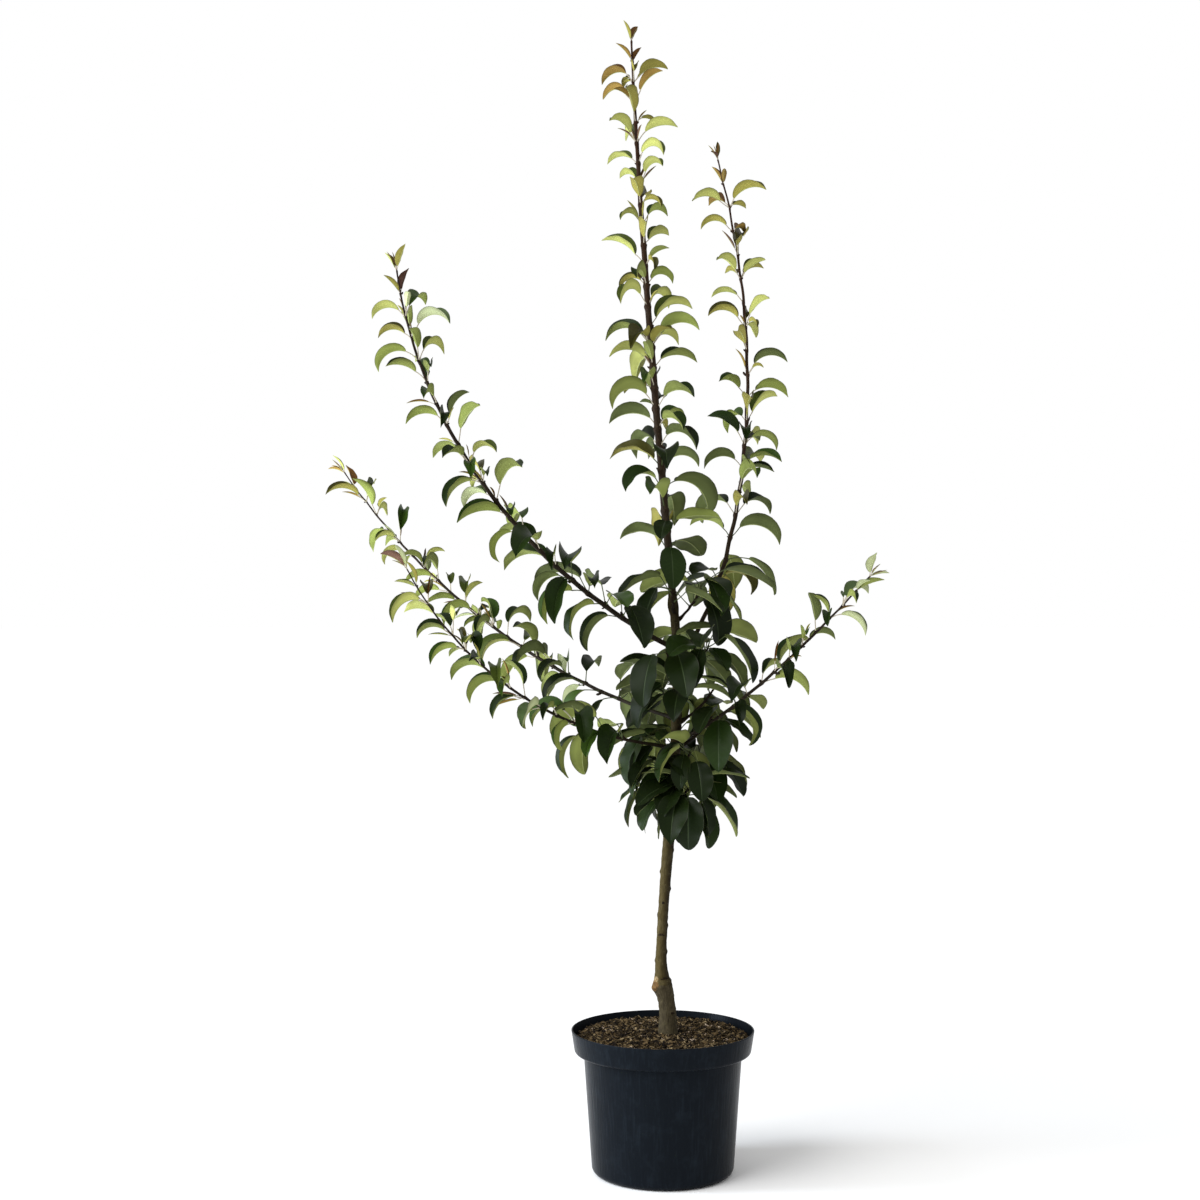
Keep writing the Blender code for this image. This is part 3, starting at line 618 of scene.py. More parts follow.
def bark_finish(name, old, young, cork, roughness):
    """Young pear bark: a thin olive to red-brown skin, streaked along the stem, with pale cork dots on it."""
    material, tree, shader = new_material(name)
    youth = add_node(tree, "Attribute", attribute_name="youth").outputs["Fac"]
    grain = add_node(tree, "Attribute", attribute_name="grain").outputs["Vector"]
    drawn_out = add_node(tree, "Mapping", {"Vector": grain, "Scale": (1.0, 1.0, 0.16)})
    fine = {"Scale": 1 / (1.6 * MM), "Detail": 5.0, "Roughness": 0.65}
    streak = add_node(tree, "TexNoise", {"Vector": drawn_out, **fine})
    blotch = add_node(tree, "TexNoise", {"Vector": grain, "Scale": 1 / (11 * MM), "Detail": 3.0})
    cells = add_node(tree, "TexVoronoi", {"Vector": grain, "Scale": 1 / (4.5 * MM), "Randomness": 1.0})
    dot_ends = {"From Min": 0.08, "From Max": 0.14, "To Min": 0.6, "To Max": 0.0}
    dot = add_node(tree, "MapRange", {"Value": cells, **dot_ends})
    skin = layered(
        tree,
        shaded(old),
        # On the trunk this mix also lays painted shade round the right side, besides its younger, browner
        # bark
        (youth, shaded(young)),
        (blotch, shaded(cork, 0.75), (0.45, 0.72), (0.0, 0.4)),
        (streak, shaded(old, 0.35), (0.35, 0.6), (0.75, 0.0)),
        (dot, shaded(cork, 1.1)),
    )
    height = add_node(tree, "Math", {0: streak, 1: dot}, operation="ADD")
    relief = add_node(tree, "Bump", {"Height": height, "Strength": 0.6, "Distance": 0.4 * MM})
    feed(tree, shader, {"Base Color": skin, "Normal": relief})
    feed(tree, shader, {"Roughness": roughness, "IOR": 1.5, "Specular IOR Level": 0.10})
    return material


def callus_finish(name, colour, dark):
    """Healed wood of the graft: a smooth tan roll that has not yet grown a full bark."""
    material, tree, shader = new_material(name)
    spot = add_node(tree, "TexCoord").outputs["Object"]
    mottle = add_node(tree, "TexNoise", {"Vector": spot, "Scale": 1 / (3 * MM), "Detail": 5.0})
    skin = layered(tree, shaded(dark), (mottle, shaded(colour), (0.35, 0.65), (0.0, 1.0)))
    relief = add_node(tree, "Bump", {"Height": mottle, "Strength": 0.5, "Distance": 0.6 * MM})
    feed(tree, shader, {"Base Color": skin, "Normal": relief})
    feed(tree, shader, {"Roughness": 0.7, "IOR": 1.5, "Specular IOR Level": 0.08})
    return material


def moulded_polypropylene(name, colour, worn):
    """Injection-moulded black plastic: a satin skin, faintly streaked down the wall, with dusty scuffs.
    On the inner wall the scuffs and streaks take a near-black colour instead, painted shade inside the pot.
    """
    material, tree, shader = new_material(name)
    spot = add_node(tree, "TexCoord").outputs["Object"]
    down = add_node(tree, "Mapping", {"Vector": spot, "Scale": (1.0, 1.0, 0.03)})
    drawn = {"Scale": 1 / (4 * MM), "Detail": 3.0, "Roughness": 0.6}
    drag = add_node(tree, "TexNoise", {"Vector": down, **drawn})
    broad = {"Scale": 1 / (26 * MM), "Detail": 6.0, "Roughness": 0.7}
    dust = add_node(tree, "TexNoise", {"Vector": spot, **broad})
    grit = add_node(tree, "TexNoise", {"Vector": spot, "Scale": 1 / (1.2 * MM), "Detail": 2.0})
    skin = layered(
        tree,
        shaded(colour),
        (dust, shaded(worn), (0.5, 0.8), (0.0, 0.5)),
        (drag, shaded(worn, 1.25), (0.52, 0.75), (0.0, 0.3)),
    )
    height = add_node(tree, "Math", {0: grit, 1: 0.12, 2: drag}, operation="MULTIPLY_ADD")
    relief = add_node(tree, "Bump", {"Height": height, "Strength": 0.7, "Distance": 0.7 * MM})
    feed(tree, shader, {"Base Color": skin, "Normal": relief, "Specular Tint": shaded(SKY_BLUE)})
    feed(tree, shader, {"Roughness": 0.28, "IOR": 1.49, "Specular IOR Level": 0.04})
    return material


def peat_finish(name, colour):
    """Damp peat, bark and coir: matt and fibrous, flecked lighter and darker."""
    material, tree, shader = new_material(name)
    spot = add_node(tree, "TexCoord").outputs["Object"]
    grainy = {"Scale": 1 / (2.2 * MM), "Detail": 5.0, "Roughness": 0.7}
    fleck = add_node(tree, "TexNoise", {"Vector": spot, **grainy})
    skin = layered(tree, shaded(colour, 0.55), (fleck, shaded(colour, 1.35), (0.35, 0.65), (0.0, 1.0)))
    relief = add_node(tree, "Bump", {"Height": fleck, "Strength": 0.7, "Distance": 0.5 * MM})
    feed(tree, shader, {"Base Color": skin, "Normal": relief})
    feed(tree, shader, {"Roughness": 0.95, "IOR": 1.4, "Specular IOR Level": 0.2})
    return material


# Meshes


class Batch:
    """Points and faces for one joined mesh: a finish for each face, a place and an age for each point,
    the age on the trunk also carrying painted shade round its right side.
    """

    def __init__(self):
        self.points = []
        self.faces = []
        self.finishes = []
        self.places = []
        self.youths_and_side_shade = []

    def add(self, points, faces, finishes, places=None, youths_and_side_shade=None):
        first = len(self.points)
        self.points.extend(points)
        self.faces.extend(tuple(first + index for index in face) for face in faces)
        self.finishes.extend([finishes] * len(faces) if isinstance(finishes, int) else finishes)
        self.places.extend(places or [(0, 0, 0)] * len(points))
        self.youths_and_side_shade.extend(youths_and_side_shade or [0.0] * len(points))


def placed(name, data):
    """A new object in the scene."""
    obj = bpy.data.objects.new(name, data)
    bpy.context.scene.collection.objects.link(obj)
    return obj


def placed_mesh(name, bm):
    """A new mesh object in the scene, from a bmesh that it frees."""
    mesh = bpy.data.meshes.new(name)
    bm.to_mesh(mesh)
    bm.free()
    return placed(name, mesh)


def joined_piece(name, batch, materials, place_name, crease):
    """One mesh object from a batch, smooth but for its creases, riding on the tree."""
    mesh = bpy.data.meshes.new(name)
    mesh.from_pydata(batch.points, [], batch.faces)
    for material in materials:
        mesh.materials.append(material)
    mesh.polygons.foreach_set("material_index", batch.finishes)
    place = mesh.attributes.new(place_name, "FLOAT_VECTOR", "POINT")
    place.data.foreach_set("vector", [part for point in batch.places for part in point])
    youth = mesh.attributes.new("youth", "FLOAT", "POINT")
    youth.data.foreach_set("value", batch.youths_and_side_shade)
    mesh.shade_smooth()
    mesh.set_sharp_from_angle(angle=math.radians(crease))
    obj = placed(name, mesh)
    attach(obj, BODY)
    return obj


def mix(first, second, share):
    """A value between two others."""
    return first + (second - first) * share


def eased(value, low, high):
    """0 below the low value, 1 above the high one, and a smooth step between them."""
    share = min(max((value - low) / (high - low), 0), 1)
    return share * share * (3 - 2 * share)


def bell(value, width):
    """1 at zero, falling smoothly to nothing on both sides."""
    return math.exp(-((value / width) ** 2))


def turn_between(first, second):
    """The angle from one heading to another in degrees, the short way round."""
    return (second - first + 180) % 360 - 180


def circle(count):
    """Cosine and sine of evenly spaced angles round a circle."""
    angles = [2 * math.pi * step / count for step in range(count)]
    return [(math.cos(angle), math.sin(angle)) for angle in angles]


def ring_axes(points):
    """Two directions square to a line at each of its points, carried along it without twist."""
    axes = []
    along = (points[1] - points[0]).normalized()
    first = Vector((1, 0, 0)) if abs(along.x) < abs(along.y) + abs(along.z) else UP
    for index in range(len(points)):
        before, after = points[max(index - 1, 0)], points[min(index + 1, len(points) - 1)]
        along = (after - before).normalized()
        first = (first - along * first.dot(along)).normalized()
        axes.append((first, along.cross(first)))
    return axes


def add_stem(batch, points, radius_at, sides, finish, youths_and_side_shade=None):
    """A closed tube whose radius depends on the ring and on the angle round it."""
    corners, places, ages = [], [], []
    distance = 0
    around = circle(sides)
    for index, (point, (first, second)) in enumerate(zip(points, ring_axes(points))):
        if index:
            distance += (point - points[index - 1]).length
        for side, (across, up) in enumerate(around):
            radius = radius_at(index, 2 * math.pi * side / sides)
            corners.append(point + (first * across + second * up) * radius)
            places.append((across * radius, up * radius, distance))
        ages.extend([youths_and_side_shade[index] if youths_and_side_shade else 0.0] * sides)
    faces = []
    for low in range(0, (len(points) - 1) * sides, sides):
        for side in range(sides):
            here, following = low + side, low + (side + 1) % sides
            faces.append((here, following, following + sides, here + sides))
    last = (len(points) - 1) * sides
    faces.append(tuple(range(sides - 1, -1, -1)))
    faces.append(tuple(range(last, last + sides)))
    batch.add(corners, faces, finish, places, ages)


# Growth: the same rule as the solids


def smoothed(height):
    """The trunk's centre and width at a height, on a smooth curve through its keys."""
    for index in range(len(TRUNK) - 1):
        if height <= TRUNK[index + 1].height:
            break
    low, high = TRUNK[index], TRUNK[index + 1]
    before, after = TRUNK[max(index - 1, 0)], TRUNK[min(index + 2, len(TRUNK) - 1)]
    span = high.height - low.height
    t = min(max((height - low.height) / span, 0), 1)
    values = []
    for field in ("across", "width"):
        a, b = getattr(low, field), getattr(high, field)
        slope_a = (b - getattr(before, field)) / (high.height - before.height) * span
        slope_b = (getattr(after, field) - a) / (after.height - low.height) * span
        ends = a * (2 * t**3 - 3 * t**2 + 1) + b * (3 * t**2 - 2 * t**3)
        values.append(ends + slope_a * (t**3 - 2 * t**2 + t) + slope_b * (t**3 - t**2))
    return Vector((values[0], 0, height)), values[1]


def limb_line(limb):
    """Points along a limb's centre, PATH_STEP apart, from the trunk's centre to the limb's tip."""
    point, _ = smoothed(limb.root)
    count = round(limb.length / PATH_STEP)
    points = [point]
    for step in range(count):
        share = (step + 0.5) / count
        climb = math.radians(mix(limb.climb, limb.tip_climb, share**limb.bend))
        compass = math.radians(limb.compass + limb.turn * share)
        level = Vector((math.cos(compass), math.sin(compass), 0))
        side = Vector((-math.sin(compass), math.cos(compass), 0))
        swing = math.cos(math.pi * (step + 0.5) * PATH_STEP / limb.spacing)
        sway = side * swing * ZIGZAG * math.pi / limb.spacing
        point = point + (level * math.cos(climb) + UP * math.sin(climb) + sway) * (limb.length / count)
        points.append(point)
    return points


def at_distance(points, distance):
    """Point and direction at a distance along a line of evenly spaced points."""
    place = min(max(distance / PATH_STEP, 0), len(points) - 1)
    index = min(int(place), len(points) - 2)
    along = points[index + 1] - points[index]
    return points[index] + along * (place - index), along.normalized()


def limb_width(limb, distance):
    """A limb's width at a distance along it."""
    share = distance / limb.length
    return mix(limb.width, limb.tip_width, min(share, 1) ** THINNING)


def leaf_stations(limb):
    """Distances along a limb at which its leaves stand."""
    start = limb.length * (limb.bare or SPUR_BARE) + FIRST_STATION
    end = limb.length - LAST_STATION
    count = max(int((end - start) / limb.spacing), 1)
    return [mix(start, end, station / count) for station in range(count + 1)]


def trunk_spurs():
    """The short limbs of the tiers that carry a mass of leaves, each with its own number and seed."""
    spurs = []
    for tier in TIERS:
        for place in range(tier.count):
            number = len(spurs) + 1
            compass = tier.compass + 360 * place / tier.count
            length = tier.length * (1 + SPUR_LOPSIDED * math.cos(math.radians(compass)))
            spurs.append(Limb(
                name=f"spur_{number:02d}", root=tier.height + SPUR_STAGGER * place, compass=compass, turn=0,
                climb=tier.climb, tip_climb=tier.tip_climb, bend=1, length=length, width=tier.width,
                tip_width=SPUR_TIP_WIDTH, bare=0, spacing=SPUR_SPACING, rosette=tier.rosette, vigour=1,
                seed=FIRST_SPUR_SEED + number,
            ))
    return [spur for spur in spurs if f"foliage_{spur.name}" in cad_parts]


def half_width_share(share):
    """Half the blade's width along its midrib, as a share of its widest: egg-shaped, pointed at the tip."""
    return max(math.sin(math.pi * share**WIDEST_PLACE), 0) ** OUTLINE_FULLNESS


def blade_frame(leaf, share):
    """Midrib point, side direction and upper side of a blade at a share of its length."""
    level = Vector((leaf.heading.x, leaf.heading.y, 0)).normalized()
    start, bend = math.radians(leaf.climb), math.radians(leaf.arch)
    climb = start - bend * share
    reach = (math.sin(start) - math.sin(climb)) / bend
    rise = (math.cos(climb) - math.cos(start)) / bend
    point = leaf.root + leaf.heading * leaf.stalk + (level * reach + UP * rise) * leaf.length
    along = level * math.cos(climb) + UP * math.sin(climb)
    upper = UP * math.cos(climb) - level * math.sin(climb)
    roll = Matrix.Rotation(math.radians(leaf.roll + leaf.twist * share), 3, along)
    return point, roll @ along.cross(upper), roll @ upper


def blend_kinds(first, second, share):
    """A kind of leaf between two others."""
    pairs = zip(first, second)
    return LeafKind(*((mix(a[0], b[0], share), mix(a[1], b[1], share)) for a, b in pairs))


def new_leaf(rng, kind, root, along, outward, size=1):
    """One leaf of a kind, rising from its root between the stem's direction and the outward one."""
    drawn = LeafKind(*(rng.uniform(low, high) for low, high in kind))
    spread = math.radians(drawn.spread)
    heading = (along * math.cos(spread) + outward * math.sin(spread) + UP * drawn.lift).normalized()
    climb = math.degrees(math.asin(heading.z)) - drawn.dip
    length = size * drawn.length
    half, stalk = length * drawn.half, size * drawn.stalk
    return Leaf(root, heading, stalk, length, half, drawn.fold, climb, drawn.arch, drawn.roll, drawn.twist)


def outward_at(along, angle):
    """A direction square to a stem, at an angle round it."""
    side = along.cross(UP)
    if side.length < NEARLY_UPRIGHT:
        side = Vector((1, 0, 0))
    return Matrix.Rotation(math.radians(angle), 3, along) @ side.normalized()


def grown_leaves(limb):
    """Every leaf that a limb would carry, station by station, from its first leaves to its tip."""
    rng = random.Random(limb.seed)
    line = limb_line(limb)
    stations = leaf_stations(limb)
    turn = rng.uniform(0, 360)
    leaves = []
    for number, distance in enumerate(stations):
        share = number / (len(stations) - 1)
        root, along = at_distance(line, distance)
        turn += GOLDEN_ANGLE + rng.uniform(-TURN_SCATTER, TURN_SCATTER)
        if limb.bare and number >= len(stations) - TIP_STATIONS:
            for angle in (turn, turn + TIP_PAIR_ANGLE):
                leaf = new_leaf(rng, YOUNG, root, along, outward_at(along, angle))
                opened = leaf._replace(fold=YOUNG_OPENING * leaf.fold, half=YOUNG_FULLNESS * leaf.half)
                leaves.append(Grown(opened, share, TINTING[limb.name].tip))
            continue
        wanted = limb.rosette * rng.uniform(*ROSETTE_RANGE)
        if limb.bare:
            wanted *= mix(ROSETTE_AT_FOOT, ROSETTE_AT_TIP, share)
        count = max(round(wanted), 1)
        for extra in range(count):
            scatter = rng.uniform(-ROSETTE_SCATTER, ROSETTE_SCATTER)
            outward = outward_at(along, turn + 360 * extra / count + scatter)
            size = limb.vigour * (1 if extra == 0 else rng.uniform(*LESSER_LEAF))
            if not limb.bare or (share < OLD_WOOD and rng.random() < OLD_LEAF_CHANCE):
                kind = OLD
            else:
                kind = blend_kinds(SHOOT_FOOT, SHOOT_TIP, min(share / FULLY_FOLDED, 1))
            leaves.append(Grown(new_leaf(rng, kind, root, along, outward, size), share, None))
    return leaves


def packed_leaves(limb):
    """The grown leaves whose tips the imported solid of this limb's foliage also has."""
    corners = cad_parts[f"foliage_{limb.name}"].data.vertices
    tree = KDTree(len(corners))
    for index, corner in enumerate(corners):
        tree.insert(corner.co, index)
    tree.balance()
    found = [leaf for leaf in grown_leaves(limb) if tree.find(blade_frame(leaf.leaf, 1)[0])[2] < SAME_TIP]
    if not found:
        raise RuntimeError(f"no leaf of {limb.name} matches its packed foliage")
    return found


def lesser_leaves(limb, leaves):
    """Small folded leaves and narrow unfolding ones beside a limb's grown leaves, and hairs at its tip."""
    rng = random.Random(limb.seed + LESSER_SEED)
    line = limb_line(limb)
    stations = leaf_stations(limb)
    found = []
    for grown in leaves:
        if grown.young:
            continue
        along = at_distance(line, mix(stations[0], stations[-1], grown.share))[1]
        for kind, start, chance, tints in BESIDE_LEAVES:
            if grown.share > start and rng.random() < chance:
                outward = outward_at(along, rng.uniform(0, 360))
                leaf = new_leaf(rng, kind, grown.leaf.root, along, outward)
                found.append(Grown(leaf, grown.share, tints))
    tip, along = at_distance(line, limb.length)
    turn = rng.uniform(0, 360)
    for number in range(NEEDLES):
        outward = outward_at(along, turn + 360 * number / NEEDLES)
        found.append(Grown(new_leaf(rng, NEEDLE, tip, along, outward), 1, NEEDLE_TINTS))
    return found


def within(box, point, slack):
    """Whether a point lies in a box, or no further outside it than the slack."""
    low, high = box
    return all(low[axis] - slack < point[axis] < high[axis] + slack for axis in range(3))


def heart_leaves(spurs):
    """Broad leaves on the spurs, close round the trunk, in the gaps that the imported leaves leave."""
    rng = random.Random(FIRST_SPUR_SEED)
    middles = [blade_frame(grown.leaf, 0.5)[0] for spur in spurs for grown in packed_leaves(spur)]
    found = []
    for spur in spurs:
        line = limb_line(spur)
        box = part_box(f"foliage_{spur.name}")
        for _ in range(BROAD_TRIES):
            root, along = at_distance(line, spur.length * rng.uniform(SPUR_BARE, 1))
            leaf = new_leaf(rng, BROAD, root, along, outward_at(along, rng.uniform(0, 360)))
            middle, tip = blade_frame(leaf, 0.5)[0], blade_frame(leaf, 1)[0]
            trunk, width = smoothed(middle.z)
            inside = within(box, tip, BROAD_SLACK) and within(box, middle, BROAD_SLACK)
            near = middle.z <= HEART_TOP and width < (middle - trunk).length < HEART_REACH
            crowded = any((middle - other).length < BROAD_AIR for other in middles)
            if inside and near and not crowded:
                middles.append(middle)
                found.append(Grown(leaf, rng.random(), None))
    return found


# Leaves


def fine_half_width(leaf, share):
    """The solid's outline: slimmer and drawn out to a finer point on narrow leaves, fuller on broad ones."""
    broad = eased(leaf.half / leaf.length, *BROADNESS)
    drawn = 1 - TIP_DRAWN * eased(share, TIP_DRAWN_FROM, 1) * (1 - broad)
    return half_width_share(share) ** mix(1, BROAD_FULLNESS, broad) * drawn * SLIMNESS


def curled_column(column, half, fold):
    """Sideways place, lift and slope of a blade's surface at a column, from midrib to margin."""
    across, lift, slope = 0.0, 0.0, 0.0
    for inner, outer in zip(COLUMNS[:column], COLUMNS[1 : column + 1]):
        slope = fold * mix(CUP_AT_RIB, CUP_AT_MARGIN, (inner + outer) / 2)
        across += math.cos(slope) * (outer - inner) * half
        lift += math.sin(slope) * (outer - inner) * half
    return across, lift, slope


def blade_rows(leaf, rng, stations, thickness):
    """Upper and lower points of a blade and their places, station by station, from margin to margin."""
    folds = [math.radians(leaf.fold + rng.uniform(-UNEVEN_FOLD, UNEVEN_FOLD)) for _ in range(2)]
    waves = [rng.uniform(*RIPPLE_WAVES) for _ in range(2)]
    starts = [rng.uniform(0, 2 * math.pi) for _ in range(2)]
    margin = len(COLUMNS) - 1
    for station in range(1, stations):
        even = station / stations
        share = mix(even, 0.5 - 0.5 * math.cos(math.pi * even), 0.5)
        point, side, upper = blade_frame(leaf, share)
        half = leaf.half * fine_half_width(leaf, share)
        tooth = TOOTH if station % 2 else -TOOTH
        upper_row, lower_row, places = [], [], []
        for column in range(-margin, margin + 1):
            hand = int(column >= 0)
            sign = 2 * hand - 1
            out = COLUMNS[abs(column)]
            toothed = half * (1 + tooth * (out == 1))
            across, lift, slope = curled_column(abs(column), toothed, folds[hand])
            wave = math.sin(2 * math.pi * waves[hand] * share + starts[hand])
            face_up = upper * math.cos(slope) - side * (sign * math.sin(slope))
            ripple = face_up * RIPPLE * leaf.half * out**2 * wave
            middle = point + side * (sign * across) + upper * lift + ripple
            body = thickness / 2 * (1 - out**6)
            at_rib = (1 - RIB_FADING * share) * (column == 0)
            upper_row.append(middle + face_up * (body - RIB_GROOVE * at_rib))
            lower_row.append(middle - face_up * (body + RIB_PROUD * at_rib))
            places.append((sign * out, share))
        yield upper_row, lower_row, places


def add_blade(batch, leaf, tint, tone, rng, stations, thickness):
    """A closed leaf blade, whose upper and lower skins share their points along the margin."""
    wide = 2 * len(COLUMNS) - 1
    points, places = [blade_frame(leaf, 0)[0]], [(0, 0, tone)]
    skins = ([], [])
    for upper_row, lower_row, row_places in blade_rows(leaf, rng, stations, thickness):
        first = len(points)
        points.extend(upper_row + lower_row[1:-1])
        places.extend((x, y, tone) for x, y in row_places + row_places[1:-1])
        skins[0].append(range(first, first + wide))
        skins[1].append([first, *range(first + wide, first + 2 * wide - 2), first + wide - 1])
    tip = len(points)
    points.append(blade_frame(leaf, 1)[0])
    places.append((0, 1, tone))
    faces, finishes = [], []
    for is_lower, rows in enumerate(skins):
        plain = [2 * tint + is_lower] * (len(COLUMNS) - 3)
        rib = [RIB_FINISH + is_lower] * 2
        for column, finish in enumerate([MARGIN_FINISH, *plain, *rib, *plain, MARGIN_FINISH]):
            strip = [(0, rows[0][column + 1], rows[0][column])]
            for low, high in zip(rows, rows[1:]):
                strip.append((low[column], low[column + 1], high[column + 1], high[column]))
            strip.append((rows[-1][column], rows[-1][column + 1], tip))
            faces.extend(face[::-1] if is_lower else face for face in strip)
            finishes.extend([finish] * len(strip))
    batch.add(points, faces, finishes, places)


def add_stalk(batch, leaf, radius, rng, finish):
    """A leaf's stalk: slightly bowed, thicker at the stem, and drawn on into the blade's midrib."""
    foot = blade_frame(leaf, 0)[0]
    bow = UP * rng.uniform(*STALK_BOW) * leaf.stalk
    points = [leaf.root.lerp(foot, share) + bow * math.sin(math.pi * share) for share in STALK_PLACES]
    points.append(blade_frame(leaf, STALK_INTO_BLADE)[0])
    add_stem(batch, points, lambda index, angle: radius * STALK_WIDTHS[index], STALK_SIDES, finish)


def leaf_finishes(settings):
    """Upper and lower finish of each tint, then the midrib and the margin."""
    finishes = []
    for tint in TINTS:
        finishes.append(leaf_upper_finish(f"waxy_leaf_{tint}", getattr(settings, f"{tint}_upper")))
        finishes.append(leaf_under_finish(f"matt_underleaf_{tint}", getattr(settings, f"{tint}_under")))
    finishes.append(plain_tissue_finish("sunken_midrib", settings.upper_midrib, 5 * MM, 1.15))
    finishes.append(plain_tissue_finish("raised_midrib", settings.under_midrib, 5 * MM, 1.15))
    finishes.append(plain_tissue_finish("leaf_margin", settings.margin, 4 * MM, 1.3))
    return finishes


def add_leaves(batch, leaves, zones, rng, settings):
    """Leaf blades, each in a tint of its zone, or of its own weights where it is young."""
    for grown in leaves:
        weights = grown.young or next(weights for until, weights in zones if grown.share <= until)
        tint = rng.choices(range(len(TINTS)), weights)[0]
        small = grown.leaf.length < SMALL_BLADE
        stations = settings.small_stations if small else settings.stations
        thickness = settings.thickness * (YOUNG_THINNESS if grown.young else 1)
        add_blade(batch, grown.leaf, tint, rng.random(), rng, stations, thickness)


# Stems


def node_leans(limb, leaves):
    """For each leaf station of a limb, its distance and the way its leaf points."""
    stations = leaf_stations(limb)
    leans = []
    for number, distance in enumerate(stations):
        share = number / (len(stations) - 1)
        near = [grown.leaf.heading for grown in leaves if abs(grown.share - share) < 1 / (4 * len(stations))]
        leans.append((distance, near[0] if near else None))
    return leans


def add_limb(batch, limb, leaves, youth_at_tip):
    """A limb's whole stem: flared at the trunk, swollen and leaning out at each node, rounded at its tip."""
    line = limb_line(limb)
    is_leader = limb.name == "leader"
    start = -LEADER_SINK if is_leader else 0
    count = round((limb.length - start) / STEM_RING)
    distances = [mix(start, limb.length, step / count) for step in range(count + 1)]
    leans = node_leans(limb, leaves)
    trunk_radius = smoothed(limb.root)[1] / 2
    points, radii, youths_and_side_shade = [], [], []
    for distance in distances:
        point, along = at_distance(line, distance)
        point = point + along * min(distance, 0)
        swell = 0
        for station, heading in leans:
            near = bell(distance - station, NODE_REACH)
            swell = max(swell, near)
            if heading:
                point = point + heading * near * NODE_LEAN
        radius = limb_width(limb, max(distance, 0)) / 2 * (1 + NODE_SWELL * swell)
        if not is_leader:
            radius *= STEM_SLIMNESS * (1 + FLARE * bell(max(distance - trunk_radius, 0), FLARE_REACH))
        rounding = STEM_TIP + (limb.length - distance) / STEM_TIP_REACH
        points.append(point)
        radii.append(radius * min(1, rounding))
        youths_and_side_shade.append(youth_at_tip * max(distance, 0) / limb.length)

    def radius_at(index, angle):
        lobe = math.sin(STEM_LOBES * angle + STEM_WINDING * distances[index])
        return radii[index] * (1 + STEM_WOBBLE * lobe)

    add_stem(batch, points, radius_at, STEM_SIDES, 0, youths_and_side_shade)


def add_bud(batch, root, along, outward, length):
    """A small pointed bud, pressed up against its stem."""
    heading = (along * BUD_ALONG + outward * BUD_OUTWARD).normalized()
    points = [root + heading * length * share for share in BUD_PLACES]
    youths_and_side_shade = [BUD_YOUTH] * len(points)
    add_stem(batch, points, lambda index, angle: BUD_WIDTHS[index] * length, BUD_SIDES, 0, youths_and_side_shade)


def add_peg(batch, root, along, outward, length, radius, rng):
    """A short fruiting spur: a ringed stub that bends up to a blunt bud."""
    bend = rng.uniform(*PEG_BEND)
    shares = [ring / (PEG_RINGS - 1) for ring in range(PEG_RINGS)]
    points = []
    for share in shares:
        points.append(root + (outward * (1 - bend * share * 0.5) + along * bend * share) * length * share)

    def radius_at(index, angle):
        scar = 1 + PEG_SCAR * (index % RINGS_TO_A_SCAR == 0)
        blunt = math.sqrt(max(1 - eased(shares[index], *PEG_BLUNT) ** 2, PEG_TIP))
        return radius * scar * mix(*PEG_TAPER, shares[index]) * blunt

    add_stem(batch, points, radius_at, PEG_SIDES, 0, [PEG_YOUTH] * PEG_RINGS)


def add_extras(batch, limb):
    """Buds in the axils of a limb's leaves, and short dark spurs where its wood is older."""
    rng = random.Random(limb.seed + EXTRAS_SEED)
    line = limb_line(limb)
    for distance in leaf_stations(limb)[:-1]:
        point, along = at_distance(line, distance)
        outward = outward_at(along, rng.uniform(0, 360))
        foot = point + outward * limb_width(limb, distance) / 2
        add_bud(batch, foot, along, outward, rng.uniform(*BUD_RANGE))
        if distance / limb.length < PEGS_UNTIL and rng.random() < PEG_CHANCE:
            away = outward_at(along, rng.uniform(0, 360))
            add_peg(batch, point, along, away, rng.uniform(*PEG_LENGTH), rng.uniform(*PEG_RADIUS), rng)


def mark_strength(mark, height, compass):
    """How strongly a mark shows at a height and compass heading on the trunk."""
    return bell(height - mark.height, mark.tall) * bell(turn_between(mark.compass, compass), mark.span)


def trunk_relief(height, compass):
    """How far the bark stands out from the trunk's round section at a height and compass heading."""
    angle = math.radians(compass)
    x, y = math.cos(angle) * RELIEF_RADIUS, math.sin(angle) * RELIEF_RADIUS
    rough = ROUGH_BELOW_UNION if height < UNION_HEIGHT else ROUGH_ABOVE_UNION
    fissures = noise.fractal(Vector((x, y, height * FISSURE_STRETCH)) / FISSURE_SIZE, 1.0, 2.0, 4)
    lumps = noise.fractal(Vector((x, y, height)) / BROAD_LUMP_SIZE, 1.0, 2.0, 3)
    relief = rough * (FISSURE_PROUD * fissures + BROAD_LUMP_PROUD * lumps)
    for mark in (CALLUS, PIT, LUMP, RING, *KNOTS):
        relief += mark.proud * mark_strength(mark, height, compass)
    relief += UNION_PROUD * bell(height - UNION_HEIGHT - UNION_SLANT * math.cos(angle), UNION_TALL)
    facing = bell(turn_between(KNUCKLE.compass, compass), KNUCKLE.span)
    around = mix(KNUCKLE_ALL_ROUND, 1, facing)
    return relief + KNUCKLE.proud * bell(height - KNUCKLE.height, KNUCKLE.tall) * around


def trunk_finish(height, compass):
    """Which of the trunk's finishes a face takes: a patch's, or that of the bark over or under the union."""
    for mark, least, finish in TRUNK_PATCHES:
        if mark_strength(mark, height, compass) > least:
            return finish
    union = UNION_HEIGHT - ROOTSTOCK_SLANT * math.cos(math.radians(compass))
    return ROOTSTOCK if height < union else BARK


